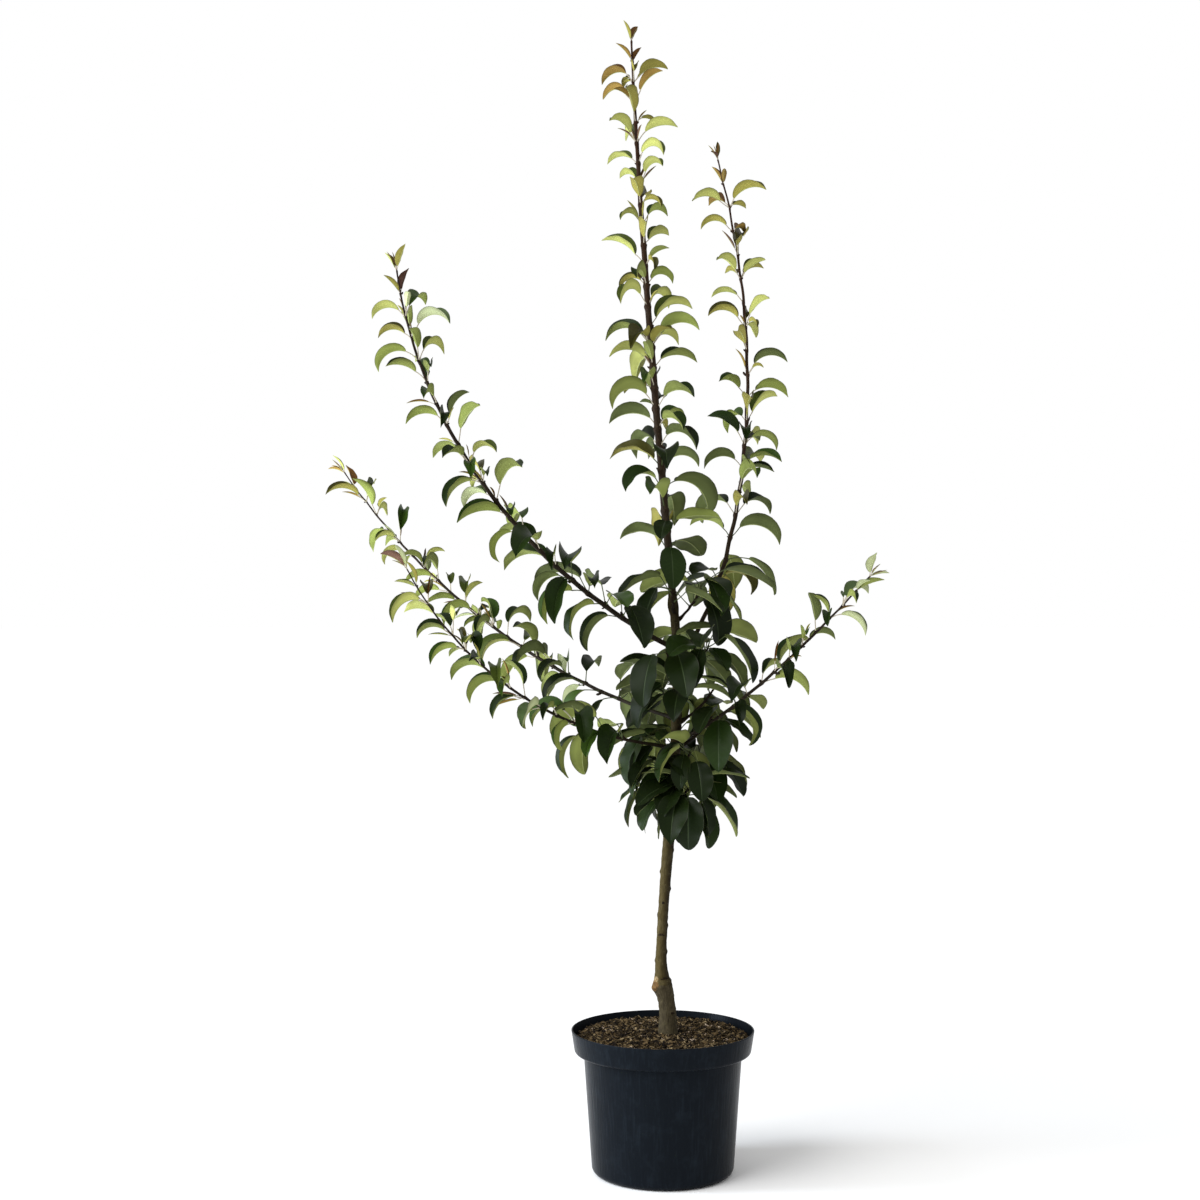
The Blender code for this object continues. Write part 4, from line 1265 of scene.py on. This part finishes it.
def trunk_mesh(settings):
    """The trunk's bark from just under the soil to the fork, with its graft, scars and knuckle."""
    foot, top = TRUNK[0].height - TRUNK_SINK, TRUNK[-1].height
    count = round((top - foot) / settings.trunk_ring)
    heights = [mix(foot, top, step / count) for step in range(count + 1)]
    points, widths, youths_and_side_shade = [], [], []
    for height in heights:
        centre, width = smoothed(max(height, TRUNK[0].height))
        centre.z = height
        points.append(centre)
        widths.append(width)
        youths_and_side_shade.append(TRUNK_YOUTH * eased(height, UNION_HEIGHT + YOUTH_ABOVE_UNION, top))

    def radius_at(index, angle):
        height = heights[index]
        closed = eased(height, top - CLOSING_BELOW_TOP, top + CLOSED_ABOVE_TOP)
        closing = math.sqrt(max(1 - closed**2, LEAST_CLOSING))
        return (widths[index] / 2 + trunk_relief(height, math.degrees(angle))) * closing

    batch = Batch()
    sides = settings.trunk_sides
    add_stem(batch, points, radius_at, sides, BARK, youths_and_side_shade)
    # The tube's points and side faces run ring by ring, so one number finds both
    for index, height in enumerate(heights):
        for side in range(sides):
            compass = 360 * side / sides
            # Round the right side the bark turns to its upper colour: partly browner bark, partly painted
            # shade
            browner_and_shaded = BROWN_AND_SHADED_SIDE * bell(turn_between(BROWN_AND_SHADED_COMPASS, compass), BROWN_AND_SHADED_SPAN)
            batch.youths_and_side_shade[index * sides + side] += browner_and_shaded
            if index < count:
                middle = (height + heights[index + 1]) / 2
                batch.finishes[index * sides + side] = trunk_finish(middle, compass + 180 / sides)
    return batch


# Soil


def soil_radius(height):
    """The inside of the pot's band at a height, less a hair's gap."""
    rise = (height - BAND_FOOT) / (POT_HEIGHT - BAND_FOOT)
    return mix(BAND_FOOT_RADIUS, RIM_RADIUS, rise) - POT_WALL - 2 * GAP


def soil_height(x, y):
    """The soil's surface: heaped a little at the trunk, level at the wall, and lumpy all over."""
    radius, edge = math.hypot(x, y), soil_radius(SOIL_LEVEL)
    even = mix(SOIL_HEAP, SOIL_AT_WALL, eased(radius, SOIL_FLAT_RADIUS, edge))
    lump = noise.fractal(Vector((x, y, 0)) / SOIL_LUMP_SIZE, 1.0, 2.0, 4)
    return even + SOIL_LUMP * lump - SOIL_EDGE_SINK * eased(radius, edge - SOIL_EDGE_WIDTH, edge)


def soil_body():
    """The fill of the pot: its lumpy surface over a plain turned body that stands clear of the wall."""
    edge = soil_radius(SOIL_LEVEL)
    points, faces = [], []
    for ring in range(1, SOIL_RINGS + 1):
        for across, away in circle(SOIL_SIDES):
            x, y = edge * ring / SOIL_RINGS * across, edge * ring / SOIL_RINGS * away
            points.append((x, y, soil_height(x, y)))
    clear = POT_WALL + 2 * GAP
    skirt = (
        (BAND_FOOT_RADIUS - clear, BAND_FOOT + POT_WALL + GAP),
        (SHOULDER_RADIUS - clear, BAND_FOOT + POT_WALL + GAP),
        (FOOT_RADIUS - clear, FOOT_ROUNDING + GAP),
        (FOOT_RADIUS - FOOT_ROUNDING - 2 * GAP, POT_FLOOR + GAP),
    )
    for radius, height in skirt:
        points.extend((radius * across, radius * away, height) for across, away in circle(SOIL_SIDES))
    last = len(points) - SOIL_SIDES
    for low in range(0, last, SOIL_SIDES):
        for side in range(SOIL_SIDES):
            here, following = low + side, low + (side + 1) % SOIL_SIDES
            faces.append((here, here + SOIL_SIDES, following + SOIL_SIDES, following))
    middle = len(points)
    points.append((0, 0, soil_height(0, 0)))
    faces.extend((middle, side, (side + 1) % SOIL_SIDES) for side in range(SOIL_SIDES))
    faces.append(tuple(last + side for side in range(SOIL_SIDES - 1, -1, -1)))
    batch = Batch()
    batch.add(points, faces, 0)
    return batch


def scattered_spot(rng, margin):
    """A place on the soil's surface, kept off the pot's wall and the trunk's foot."""
    edge = soil_radius(SOIL_LEVEL) - margin
    trunk, width = smoothed(TRUNK[0].height)
    while True:
        radius = edge * math.sqrt(rng.random())
        angle = rng.uniform(0, 2 * math.pi)
        x, y = radius * math.cos(angle), radius * math.sin(angle)
        if math.hypot(x - trunk.x, y) > width / 2 + margin * TRUNK_MARGIN:
            return Vector((x, y, soil_height(x, y)))


def tumbled(rng, tilt):
    """A random turn about the upright, with a tilt of up to so many degrees."""
    lean = Matrix.Rotation(math.radians(rng.uniform(-tilt, tilt)), 3, "X")
    roll = Matrix.Rotation(math.radians(rng.uniform(-tilt, tilt)), 3, "Y")
    return Matrix.Rotation(rng.uniform(0, 2 * math.pi), 3, "Z") @ lean @ roll


def drawn_vector(rng, spans):
    """A vector with each part drawn from its own span."""
    return Vector([rng.uniform(*span) for span in spans])


def drawn_shade(rng, weights):
    """The number of a shade of soil, drawn by its weight."""
    return rng.choices(range(len(SOIL_SHADES)), weights)[0]


def peat_crumbs(count):
    """Peat crumbs: small lumpy grains all over the surface, each a ball of twelve corners pulled about."""
    rng = random.Random(CRUMB_SEED)
    bm = bmesh.new()
    bmesh.ops.create_icosphere(bm, subdivisions=1, radius=1)
    ball = [vert.co.copy() for vert in bm.verts]
    faces = [tuple(vert.index for vert in face.verts) for face in bm.faces]
    bm.free()
    batch = Batch()
    for _ in range(count):
        size = rng.uniform(*CRUMB_RANGE)
        spot = scattered_spot(rng, size) + UP * size * rng.uniform(*CRUMB_SINK)
        turn = tumbled(rng, CRUMB_TILT)
        stretch = drawn_vector(rng, CRUMB_STRETCH)
        points = [spot + turn @ (corner * rng.uniform(*CRUMB_LUMPS) * stretch) * size for corner in ball]
        batch.add(points, faces, drawn_shade(rng, CRUMB_SHADES))
    return batch


def bark_chips(count):
    """Composted bark: flat, ragged chips lying every way."""
    rng = random.Random(CHIP_SEED)
    faces = ((0, 3, 2, 1), (4, 5, 6, 7), (0, 1, 5, 4), (1, 2, 6, 5), (2, 3, 7, 6), (3, 0, 4, 7))
    batch = Batch()
    for _ in range(count):
        length = rng.uniform(*CHIP_RANGE)
        width = length * rng.uniform(*CHIP_SLIMNESS)
        depth = rng.uniform(*CHIP_DEPTH) * MM
        turn = tumbled(rng, CHIP_TILT)
        spot = scattered_spot(rng, length * LONG_PIECE_MARGIN) + UP * rng.uniform(*CHIP_LIFT) * MM
        points = []
        for z in (-depth, depth):
            for x, y in ((-length, -width), (length, -width), (length, width), (-length, width)):
                points.append(spot + turn @ (Vector((x, y, z)) / 2 * drawn_vector(rng, CHIP_RAGGED)))
        batch.add(points, faces, drawn_shade(rng, CHIP_SHADES))
    return batch


def wood_fibres(count):
    """Wood fibres and fine roots: thin bent threads on the surface."""
    rng = random.Random(FIBRE_SEED)
    batch = Batch()
    for _ in range(count):
        length = rng.uniform(*FIBRE_RANGE)
        radius = rng.uniform(*FIBRE_RADIUS) * MM
        spot = scattered_spot(rng, length * LONG_PIECE_MARGIN)
        turn = tumbled(rng, FIBRE_TILT)
        bow = rng.uniform(-FIBRE_BOW, FIBRE_BOW)
        points = []
        for share in FIBRE_PLACES:
            bend = bow * length * (share * share * 4 - 1) * 0.5
            point = spot + turn @ Vector((share * length, bend, 0))
            point.z = max(point.z, soil_height(point.x, point.y)) + rng.uniform(*FIBRE_LIFT) * MM
            points.append(point)
        shade = drawn_shade(rng, FIBRE_SHADES)
        add_stem(batch, points, lambda index, angle: radius * FIBRE_WIDTHS[index], FIBRE_SIDES, shade)
    return batch


# Pot


def rounded_profile(corners, steps=6):
    """A profile of (radius, height, rounding) corners with each rounding drawn as an arc."""
    profile = []
    for index, (radius, height, rounding) in enumerate(corners):
        corner = Vector((radius, height))
        if not rounding:
            profile.append(corner)
            continue
        before = (Vector(corners[index - 1][:2]) - corner).normalized()
        after = (Vector(corners[index + 1][:2]) - corner).normalized()
        half_angle = before.angle(after) / 2
        reach = rounding / math.tan(half_angle)
        centre = corner + (before + after).normalized() * rounding / math.sin(half_angle)
        start, end = corner + before * reach - centre, corner + after * reach - centre
        sweep = start.angle_signed(end)
        for step in range(steps + 1):
            profile.append(centre + Matrix.Rotation(-sweep * step / steps, 2) @ start)
    return profile


def pot_corners():
    """From the inner floor up the inside, over the lip, down the outside and in along the underside."""
    return (
        (0, POT_FLOOR, 0),
        (FOOT_RADIUS - POT_WALL, POT_FLOOR, FOOT_ROUNDING - POT_WALL),
        (SHOULDER_RADIUS - POT_WALL, BAND_FOOT + POT_WALL, INNER_SHOULDER_ROUNDING),
        (BAND_FOOT_RADIUS - POT_WALL, BAND_FOOT + POT_WALL, INNER_BAND_ROUNDING),
        (RIM_RADIUS - POT_WALL, POT_HEIGHT, INNER_LIP_ROUNDING),
        (RIM_RADIUS, POT_HEIGHT, LIP_ROUNDING),
        (BAND_FOOT_RADIUS, BAND_FOOT, BAND_ROUNDING),
        (SHOULDER_RADIUS, BAND_FOOT, SHOULDER_ROUNDING),
        (FOOT_RADIUS, 0, FOOT_ROUNDING),
        (0, 0, 0),
    )


def drain_holes():
    """Upright pins in a circle, to be cut from the pot's floor."""
    bm = bmesh.new()
    for hole in range(DRAIN_COUNT):
        out = Matrix.Translation((DRAIN_CIRCLE_RADIUS, 0, POT_FLOOR / 2))
        place = Matrix.Rotation(2 * math.pi * hole / DRAIN_COUNT, 4, "Z") @ out
        pin = {"radius1": DRAIN_RADIUS, "radius2": DRAIN_RADIUS, "depth": POT_FLOOR * 3}
        bmesh.ops.create_cone(bm, cap_ends=True, segments=DRAIN_SIDES, matrix=place, **pin)
    return placed_mesh("drain_holes", bm)


def pot_mesh(steps):
    """The turned wall of the pot with its drain holes cut through the floor."""
    bm = bmesh.new()
    verts = [bm.verts.new((point.x, 0, point.y)) for point in rounded_profile(pot_corners())]
    for first, second in zip(verts, verts[1:]):
        bm.edges.new((first, second))
    pot = placed_mesh("nursery_pot", bm)
    turn = pot.modifiers.new("Turn", "SCREW")
    turn.axis = "Z"
    turn.steps = steps
    turn.render_steps = steps
    turn.use_merge_vertices = True
    turn.merge_threshold = 0.01 * MM
    cut = pot.modifiers.new("Drain", "BOOLEAN")
    cut.operation = "DIFFERENCE"
    cut.solver = "EXACT"
    cut.object = drain_holes()
    bpy.context.view_layer.update()
    graph = bpy.context.evaluated_depsgraph_get()
    cut_mesh = bpy.data.meshes.new_from_object(pot.evaluated_get(graph))
    bpy.data.objects.remove(cut.object, do_unlink=True)
    pot.modifiers.clear()
    pot.data = cut_mesh
    cut_mesh.shade_smooth()
    cut_mesh.set_sharp_from_angle(angle=math.radians(POT_CREASE))
    return pot


# Settings


def colour_setting(name, description, code):
    """A colour that the panel shows, from its sRGB hex value."""
    kind = {"subtype": "COLOR", "size": 3, "min": 0, "max": 1}
    return FloatVectorProperty(name=name, description=description, default=linear(code), **kind)


def length_setting(name, description, metres):
    """A length that the panel shows."""
    kind = {"subtype": "DISTANCE", "unit": "LENGTH", "min": 0, "precision": 5}
    return FloatProperty(name=name, description=description, default=metres, **kind)


def count_setting(name, description, count):
    """A whole number of at least three that the panel shows."""
    return IntProperty(name=name, description=description, min=3, default=count)


class PearPotSettings(bpy.types.PropertyGroup):
    """Nursery pot and the soil in it."""

    steps: count_setting("Pot steps", "Flat steps round the turned pot", 160)
    # The plastic's blue tint is partly its own and partly a painted bluish reflection
    plastic: colour_setting("Plastic", "Moulded plastic of the pot", "#11151a")
    worn: colour_setting("Dusty plastic", "Plastic where dust and drag marks lie", "#20272e")
    # Inner plastic: near-black in place of dust on the inner wall, partly cleaner plastic and partly painted
    # shade inside the pot
    inner: colour_setting("Inner plastic", "Cleaner plastic inside the pot", "#07080b")
    crumbs: count_setting("Crumbs", "Peat crumbs on the surface", 5200)
    chips: count_setting("Bark chips", "Flat chips on the surface", 2700)
    fibres: count_setting("Wood fibres", "Threads on the surface", 520)
    peat: colour_setting("Peat", "Damp peat", "#130c07")
    dark_bark: colour_setting("Dark bark", "Composted bark", "#302616")
    brown_bark: colour_setting("Brown bark", "Fresh bark chips", "#594930")
    dry_fibre: colour_setting("Dry fibre", "Dry wood fibre", "#7f6e50")
    pale_chip: colour_setting("Pale chip", "Bare wood chips", "#ad9a86")


class PearBarkSettings(bpy.types.PropertyGroup):
    """Trunk and limbs."""

    trunk_sides: count_setting("Trunk sides", "Faces round the trunk", 56)
    trunk_ring: length_setting("Trunk ring", "Height of a ring of the trunk's mesh", 0.0018)
    old_bark: colour_setting("Trunk bark", "Olive grey bark of the trunk", "#534828")
    old_cork: colour_setting("Trunk cork", "Pale patches and dots on the trunk", "#71684a")
    # Upper bark: younger bark towards the fork, and on the trunk's right side partly browner bark and partly
    # painted shade
    upper_bark_and_shade: colour_setting("Upper bark", "Browner bark on the right and towards the fork", "#19110b")
    root_bark: colour_setting("Rootstock bark", "Bark below the graft", "#494130")
    callus: colour_setting("Callus", "Healed wood of the graft", "#745936")
    callus_dark: colour_setting("Callus shade", "Darker parts of the healed wood", "#4a3722")
    callus_pale: colour_setting("Fresh callus", "Cream wood at the top of the callus", "#9c8c6a")
    # Scar colours: painted shade in the trunk's creases, and dark cork of old scars, partly painted shade, on
    # its knots
    scar: colour_setting("Scar", "Dark cork in creases and old scars", "#2a2013")
    scar_and_crease_shade_dark: colour_setting("Scar shade", "Darkest parts of the scars", "#150f08")
    bough_bark: colour_setting("Bough bark", "Older bark of the side limbs", "#231d12")
    shoot_bark: colour_setting("Shoot bark", "Young bark of the side limbs", "#281b15")
    leader_bark: colour_setting("Leader bark", "Older bark of the two leaders", "#292113")
    leader_shoot: colour_setting("Leader shoot", "Red brown bark of the leaders' tips", "#3c2114")
    cork: colour_setting("Cork dots", "Pale dots on the limbs", "#544637")


class PearLeafSettings(bpy.types.PropertyGroup):
    """Leaves, their stalks and the growing tips."""

    stations: count_setting("Blade stations", "Cross-sections along a leaf", 24)
    small_stations: count_setting("Small blade stations", "Cross-sections along a young leaf", 14)
    thickness: length_setting("Blade thickness", "Thickness of a leaf", 0.00036)
    stalk_radius: length_setting("Stalk radius", "Half the width of a leaf's stalk", 0.00085)
    upper_midrib: colour_setting("Midrib, upper", "Midrib on a leaf's upper side", "#303f1f")
    under_midrib: colour_setting("Midrib, under", "Midrib on a leaf's underside", "#a5ae6c")
    # The margin's dark colour is partly painted shade of the blade's curled edge
    margin: colour_setting("Margin", "Thin edge of a leaf", "#1f220f")
    stalk: colour_setting("Stalk", "Leaf stalks on the limbs", "#c2b8a4")
    shaded_stalk: colour_setting("Shaded stalk", "Leaf stalks in the mass and near the trunk", "#4b5630")


for tint, codes in TINTS.items():
    for side, code in zip(("upper", "under"), codes):
        PearLeafSettings.__annotations__[f"{tint}_{side}"] = colour_setting(
            f"{tint.capitalize()}, {side}", f"The {side} side of {tint} leaves", code
        )


class PearStageSettings(bpy.types.PropertyGroup):
    """Floor, light and camera."""

    floor: colour_setting("Floor", "Pale studio floor", "#ffffff")
    key_strength: FloatProperty(name="Key light", description="Strength of the soft sun", default=1.95, min=0)
    strip_power: FloatProperty(
        name="Side light", description="Power of the side light", default=30, unit="POWER"
    )
    sky: FloatProperty(name="Sky", description="Brightness of the even light", default=0.62, min=0)
    lens: FloatProperty(
        name="Lens", description="Focal length on a 36 mm sensor", default=58.83, unit="CAMERA"
    )
    eye_height: length_setting("Eye height", "Height of the camera above the floor", 0.874)
    distance: length_setting("Distance", "Distance of the camera from the tree", 3.0)


# Stage


def add_floor(settings):
    """A wide pale floor, a hair under the pot."""
    bm = bmesh.new()
    bmesh.ops.create_circle(bm, cap_ends=True, segments=96, radius=FLOOR_RADIUS)
    floor = placed_mesh("studio_floor", bm)
    floor.location.z = -GAP
    material, tree, shader = new_material("matt_painted_floor")
    feed(tree, shader, {"Base Color": shaded(settings.floor)})
    feed(tree, shader, {"Roughness": 0.9, "IOR": 1.5, "Specular IOR Level": 0})
    floor.data.materials.append(material)


def add_sky(settings):
    """An even white surround, brighter to the eye than the light that it gives."""
    world = bpy.data.worlds.new("studio")
    world.use_nodes = True
    tree = world.node_tree
    tree.nodes.clear()
    seen = add_node(tree, "LightPath").outputs["Is Camera Ray"]
    strength = add_node(tree, "Mix", {"Factor": seen, "A": settings.sky, "B": 1.0})
    surround = add_node(tree, "Background", {"Color": (1, 1, 1, 1), "Strength": strength})
    add_node(tree, "OutputWorld", {"Surface": surround})
    bpy.context.scene.world = world


def add_light(name, kind, place, target, strength):
    """A light of a kind at a place, turned to its target."""
    light = bpy.data.lights.new(name, kind)
    light.energy = strength
    obj = placed(name, light)
    obj.location = place
    obj.rotation_euler = (Vector(target) - Vector(place)).to_track_quat("-Z", "Y").to_euler()
    return light


def add_lights(settings):
    """A broad soft key from the upper left, and a tall cool strip that draws the sheen on the pot."""
    key = add_light("key", "SUN", KEY_PLACE, KEY_TARGET, settings.key_strength)
    key.angle = math.radians(KEY_SPREAD)
    strip = add_light("left_strip", "AREA", STRIP_PLACE, STRIP_TARGET, settings.strip_power)
    strip.shape = "RECTANGLE"
    strip.size, strip.size_y = STRIP_SIZE
    strip.color = SKY_BLUE


def add_camera(settings):
    """A level camera in front of the tree."""
    camera = bpy.data.cameras.new("camera")
    camera.lens = settings.lens
    camera.sensor_width = SENSOR_WIDTH
    obj = placed("camera", camera)
    obj.location = (CAMERA_ACROSS, -settings.distance, settings.eye_height)
    obj.rotation_euler = (math.radians(90), 0, 0)
    bpy.context.scene.camera = obj


# Operators


class PEAR_OT_stage(bpy.types.Operator):
    """Set up the floor, the soft light and the camera"""

    bl_idname = "pear.stage"
    bl_label = "Stage"

    def execute(self, context):
        settings = context.scene.pear_stage
        add_floor(settings)
        add_sky(settings)
        add_lights(settings)
        add_camera(settings)
        context.scene.view_settings.view_transform = "Standard"
        return {"FINISHED"}


class PEAR_OT_pot(bpy.types.Operator):
    """Make the nursery pot"""

    bl_idname = "pear.pot"
    bl_label = "Nursery pot"

    def execute(self, context):
        settings = context.scene.pear_pot
        pot = pot_mesh(settings.steps)
        pot.data.materials.clear()
        # The inner wall's copy lays near-black patches where the outside has dust: painted shade inside the
        # pot
        for name, dusty in (("moulded_polypropylene", settings.worn), ("clean_inner_wall", settings.inner)):
            pot.data.materials.append(moulded_polypropylene(name, settings.plastic, dusty))
        for face in pot.data.polygons:
            outward = Vector((face.center.x, face.center.y, 0))
            face.material_index = int(face.normal.dot(outward) < 0)
        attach(pot, BODY)
        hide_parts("pot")
        return {"FINISHED"}


class PEAR_OT_soil(bpy.types.Operator):
    """Fill the pot with soil, crumbs, chips and fibres"""

    bl_idname = "pear.soil"
    bl_label = "Potting soil"

    def execute(self, context):
        settings = context.scene.pear_pot
        finishes = [peat_finish(f"damp_{shade}", getattr(settings, shade)) for shade in SOIL_SHADES]
        body = joined_piece("soil_fill", soil_body(), finishes[:1], "spot", SOIL_CREASE)
        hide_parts("soil")
        joined_piece("peat_crumbs", peat_crumbs(settings.crumbs), finishes, "spot", SOIL_CREASE)
        joined_piece("bark_chips", bark_chips(settings.chips), finishes, "spot", CHIP_CREASE)
        joined_piece("wood_fibres", wood_fibres(settings.fibres), finishes, "spot", SOIL_CREASE)
        return {"FINISHED"}


class PEAR_OT_trunk(bpy.types.Operator):
    """Grow the trunk's bark with its graft union"""

    bl_idname = "pear.trunk"
    bl_label = "Trunk"

    def execute(self, context):
        settings = context.scene.pear_bark
        old, root, cork = settings.old_bark, settings.root_bark, settings.old_cork
        finishes = (
            bark_finish("smooth_pear_bark", old, settings.upper_bark_and_shade, cork, 0.72),
            bark_finish("rough_rootstock_bark", root, root, cork, 0.85),
            callus_finish("healed_callus", settings.callus, settings.callus_dark),
            callus_finish("fresh_callus_rim", settings.callus_pale, settings.callus),
            # Painted shade in the pit's and the ring's creases, and dark scar cork with painted shade on the
            # knots
            callus_finish("dark_scar_cork", settings.scar, settings.scar_and_crease_shade_dark),
        )
        trunk = joined_piece("trunk_bark", trunk_mesh(settings), finishes, "grain", STEM_CREASE)
        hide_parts("trunk")
        return {"FINISHED"}


class PEAR_OT_limbs(bpy.types.Operator):
    """Grow the limbs' stems with their nodes, buds and short spurs"""

    bl_idname = "pear.limbs"
    bl_label = "Limbs"

    def execute(self, context):
        settings = context.scene.pear_bark
        side = bark_finish("olive_limb_bark", settings.bough_bark, settings.shoot_bark, settings.cork, 0.6)
        leader = bark_finish(
            "red_brown_shoot_bark", settings.leader_bark, settings.leader_shoot, settings.cork, 0.55
        )
        for limb in LIMBS:
            batch = Batch()
            add_limb(batch, limb, packed_leaves(limb), 1)
            add_extras(batch, limb)
            finish = leader if "leader" in limb.name else side
            piece = joined_piece(f"limb_{limb.name}", batch, [finish], "grain", STEM_CREASE)
            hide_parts(f"bough_{limb.name}")
        return {"FINISHED"}


class PEAR_OT_spurs(bpy.types.Operator):
    """Grow the short spurs up the trunk"""

    bl_idname = "pear.spurs"
    bl_label = "Trunk spurs"

    def execute(self, context):
        settings = context.scene.pear_bark
        bark = bark_finish("ringed_spur_bark", settings.bough_bark, settings.shoot_bark, settings.cork, 0.7)
        batch = Batch()
        for limb in trunk_spurs():
            add_limb(batch, limb, packed_leaves(limb), SPUR_YOUTH)
        joined_piece("spur_wood", batch, [bark], "grain", STEM_CREASE)
        return {"FINISHED"}


class PEAR_OT_leaves(bpy.types.Operator):
    """Grow every leaf blade, on the limbs and on the spurs"""

    bl_idname = "pear.leaves"
    bl_label = "Leaves"

    def execute(self, context):
        settings = context.scene.pear_leaf
        finishes = leaf_finishes(settings)
        for limb in LIMBS:
            rng = random.Random(limb.seed + TINT_SEED)
            batch = Batch()
            add_leaves(batch, packed_leaves(limb), TINTING[limb.name].zones, rng, settings)
            piece = joined_piece(f"leaves_{limb.name}", batch, finishes, "blade", LEAF_CREASE)
            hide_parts(f"foliage_{limb.name}")
        spurs = trunk_spurs()
        mass, heart = Batch(), Batch()
        for limb in spurs:
            rng = random.Random(limb.seed + TINT_SEED)
            add_leaves(mass, packed_leaves(limb), SPUR_ZONES, rng, settings)
        piece = joined_piece("leaves_spurs", mass, finishes, "blade", LEAF_CREASE)
        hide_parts(*(f"foliage_{limb.name}" for limb in spurs))
        rng = random.Random(FIRST_SPUR_SEED)
        add_leaves(heart, heart_leaves(spurs), SPUR_ZONES, rng, settings)
        joined_piece("leaves_heart", heart, finishes, "blade", LEAF_CREASE)
        return {"FINISHED"}


class PEAR_OT_stalks(bpy.types.Operator):
    """Grow the leaf stalks and the small unfolding leaves"""

    bl_idname = "pear.stalks"
    bl_label = "Stalks and young leaves"

    def execute(self, context):
        settings = context.scene.pear_leaf
        finishes = (
            plain_tissue_finish("sappy_leaf_stalk", settings.stalk, 6 * MM, 1.1),
            plain_tissue_finish("green_leaf_stalk", settings.shaded_stalk, 6 * MM, 1.2),
        )
        stalks, young = Batch(), Batch()
        spurs = trunk_spurs()
        for limb in (*LIMBS, *spurs):
            rng = random.Random(limb.seed + STALK_SEED)
            leaves = packed_leaves(limb)
            small = lesser_leaves(limb, leaves) if limb.bare else []
            for grown in leaves + small:
                radius = settings.stalk_radius * (YOUNG_STALK if grown.young else 1)
                # Stalks in the mass, on the spurs and low on the limbs take the darker stalk: painted shade
                green = 0 if limb.bare and grown.share > PALE_STALKS_FROM else 1
                add_stalk(stalks, grown.leaf, radius, rng, green)
            if small:
                add_leaves(young, small, TINTING[limb.name].zones, rng, settings)
        for grown in heart_leaves(spurs):
            add_stalk(stalks, grown.leaf, settings.stalk_radius, rng, 1)
        joined_piece("leaf_stalks", stalks, finishes, "grain", STEM_CREASE)
        joined_piece("young_leaves", young, leaf_finishes(settings), "blade", LEAF_CREASE)
        return {"FINISHED"}


OPERATORS = (
    PEAR_OT_stage,
    PEAR_OT_pot,
    PEAR_OT_soil,
    PEAR_OT_trunk,
    PEAR_OT_limbs,
    PEAR_OT_spurs,
    PEAR_OT_leaves,
    PEAR_OT_stalks,
)
GROUPS = {
    "pear_stage": PearStageSettings,
    "pear_pot": PearPotSettings,
    "pear_bark": PearBarkSettings,
    "pear_leaf": PearLeafSettings,
}


class PEAR_PT_panel(bpy.types.Panel):
    """Lists the steps that dress the tree, and their sizes and colours"""

    bl_idname = "PEAR_PT_panel"
    bl_label = "Pear tree"
    bl_space_type = "VIEW_3D"
    bl_region_type = "UI"
    bl_category = "Pear tree"

    def draw(self, context):
        for operator in OPERATORS:
            self.layout.operator(operator.bl_idname)
        for name in GROUPS:
            group = getattr(context.scene, name)
            box = self.layout.box()
            for setting in group.__annotations__:
                box.prop(group, setting)


CLASSES = (*GROUPS.values(), *OPERATORS, PEAR_PT_panel)


def register():
    for kind in CLASSES:
        bpy.utils.register_class(kind)
    for name, group in GROUPS.items():
        setattr(bpy.types.Scene, name, PointerProperty(type=group))


def unregister():
    for name in GROUPS:
        delattr(bpy.types.Scene, name)
    for kind in reversed(CLASSES):
        bpy.utils.unregister_class(kind)


def main():
    register()
    bpy.ops.pear.stage()
    bpy.ops.pear.pot()
    bpy.ops.pear.soil()
    bpy.ops.pear.trunk()
    bpy.ops.pear.limbs()
    bpy.ops.pear.spurs()
    bpy.ops.pear.leaves()
    bpy.ops.pear.stalks()


if __name__ == "__main__":
    main()
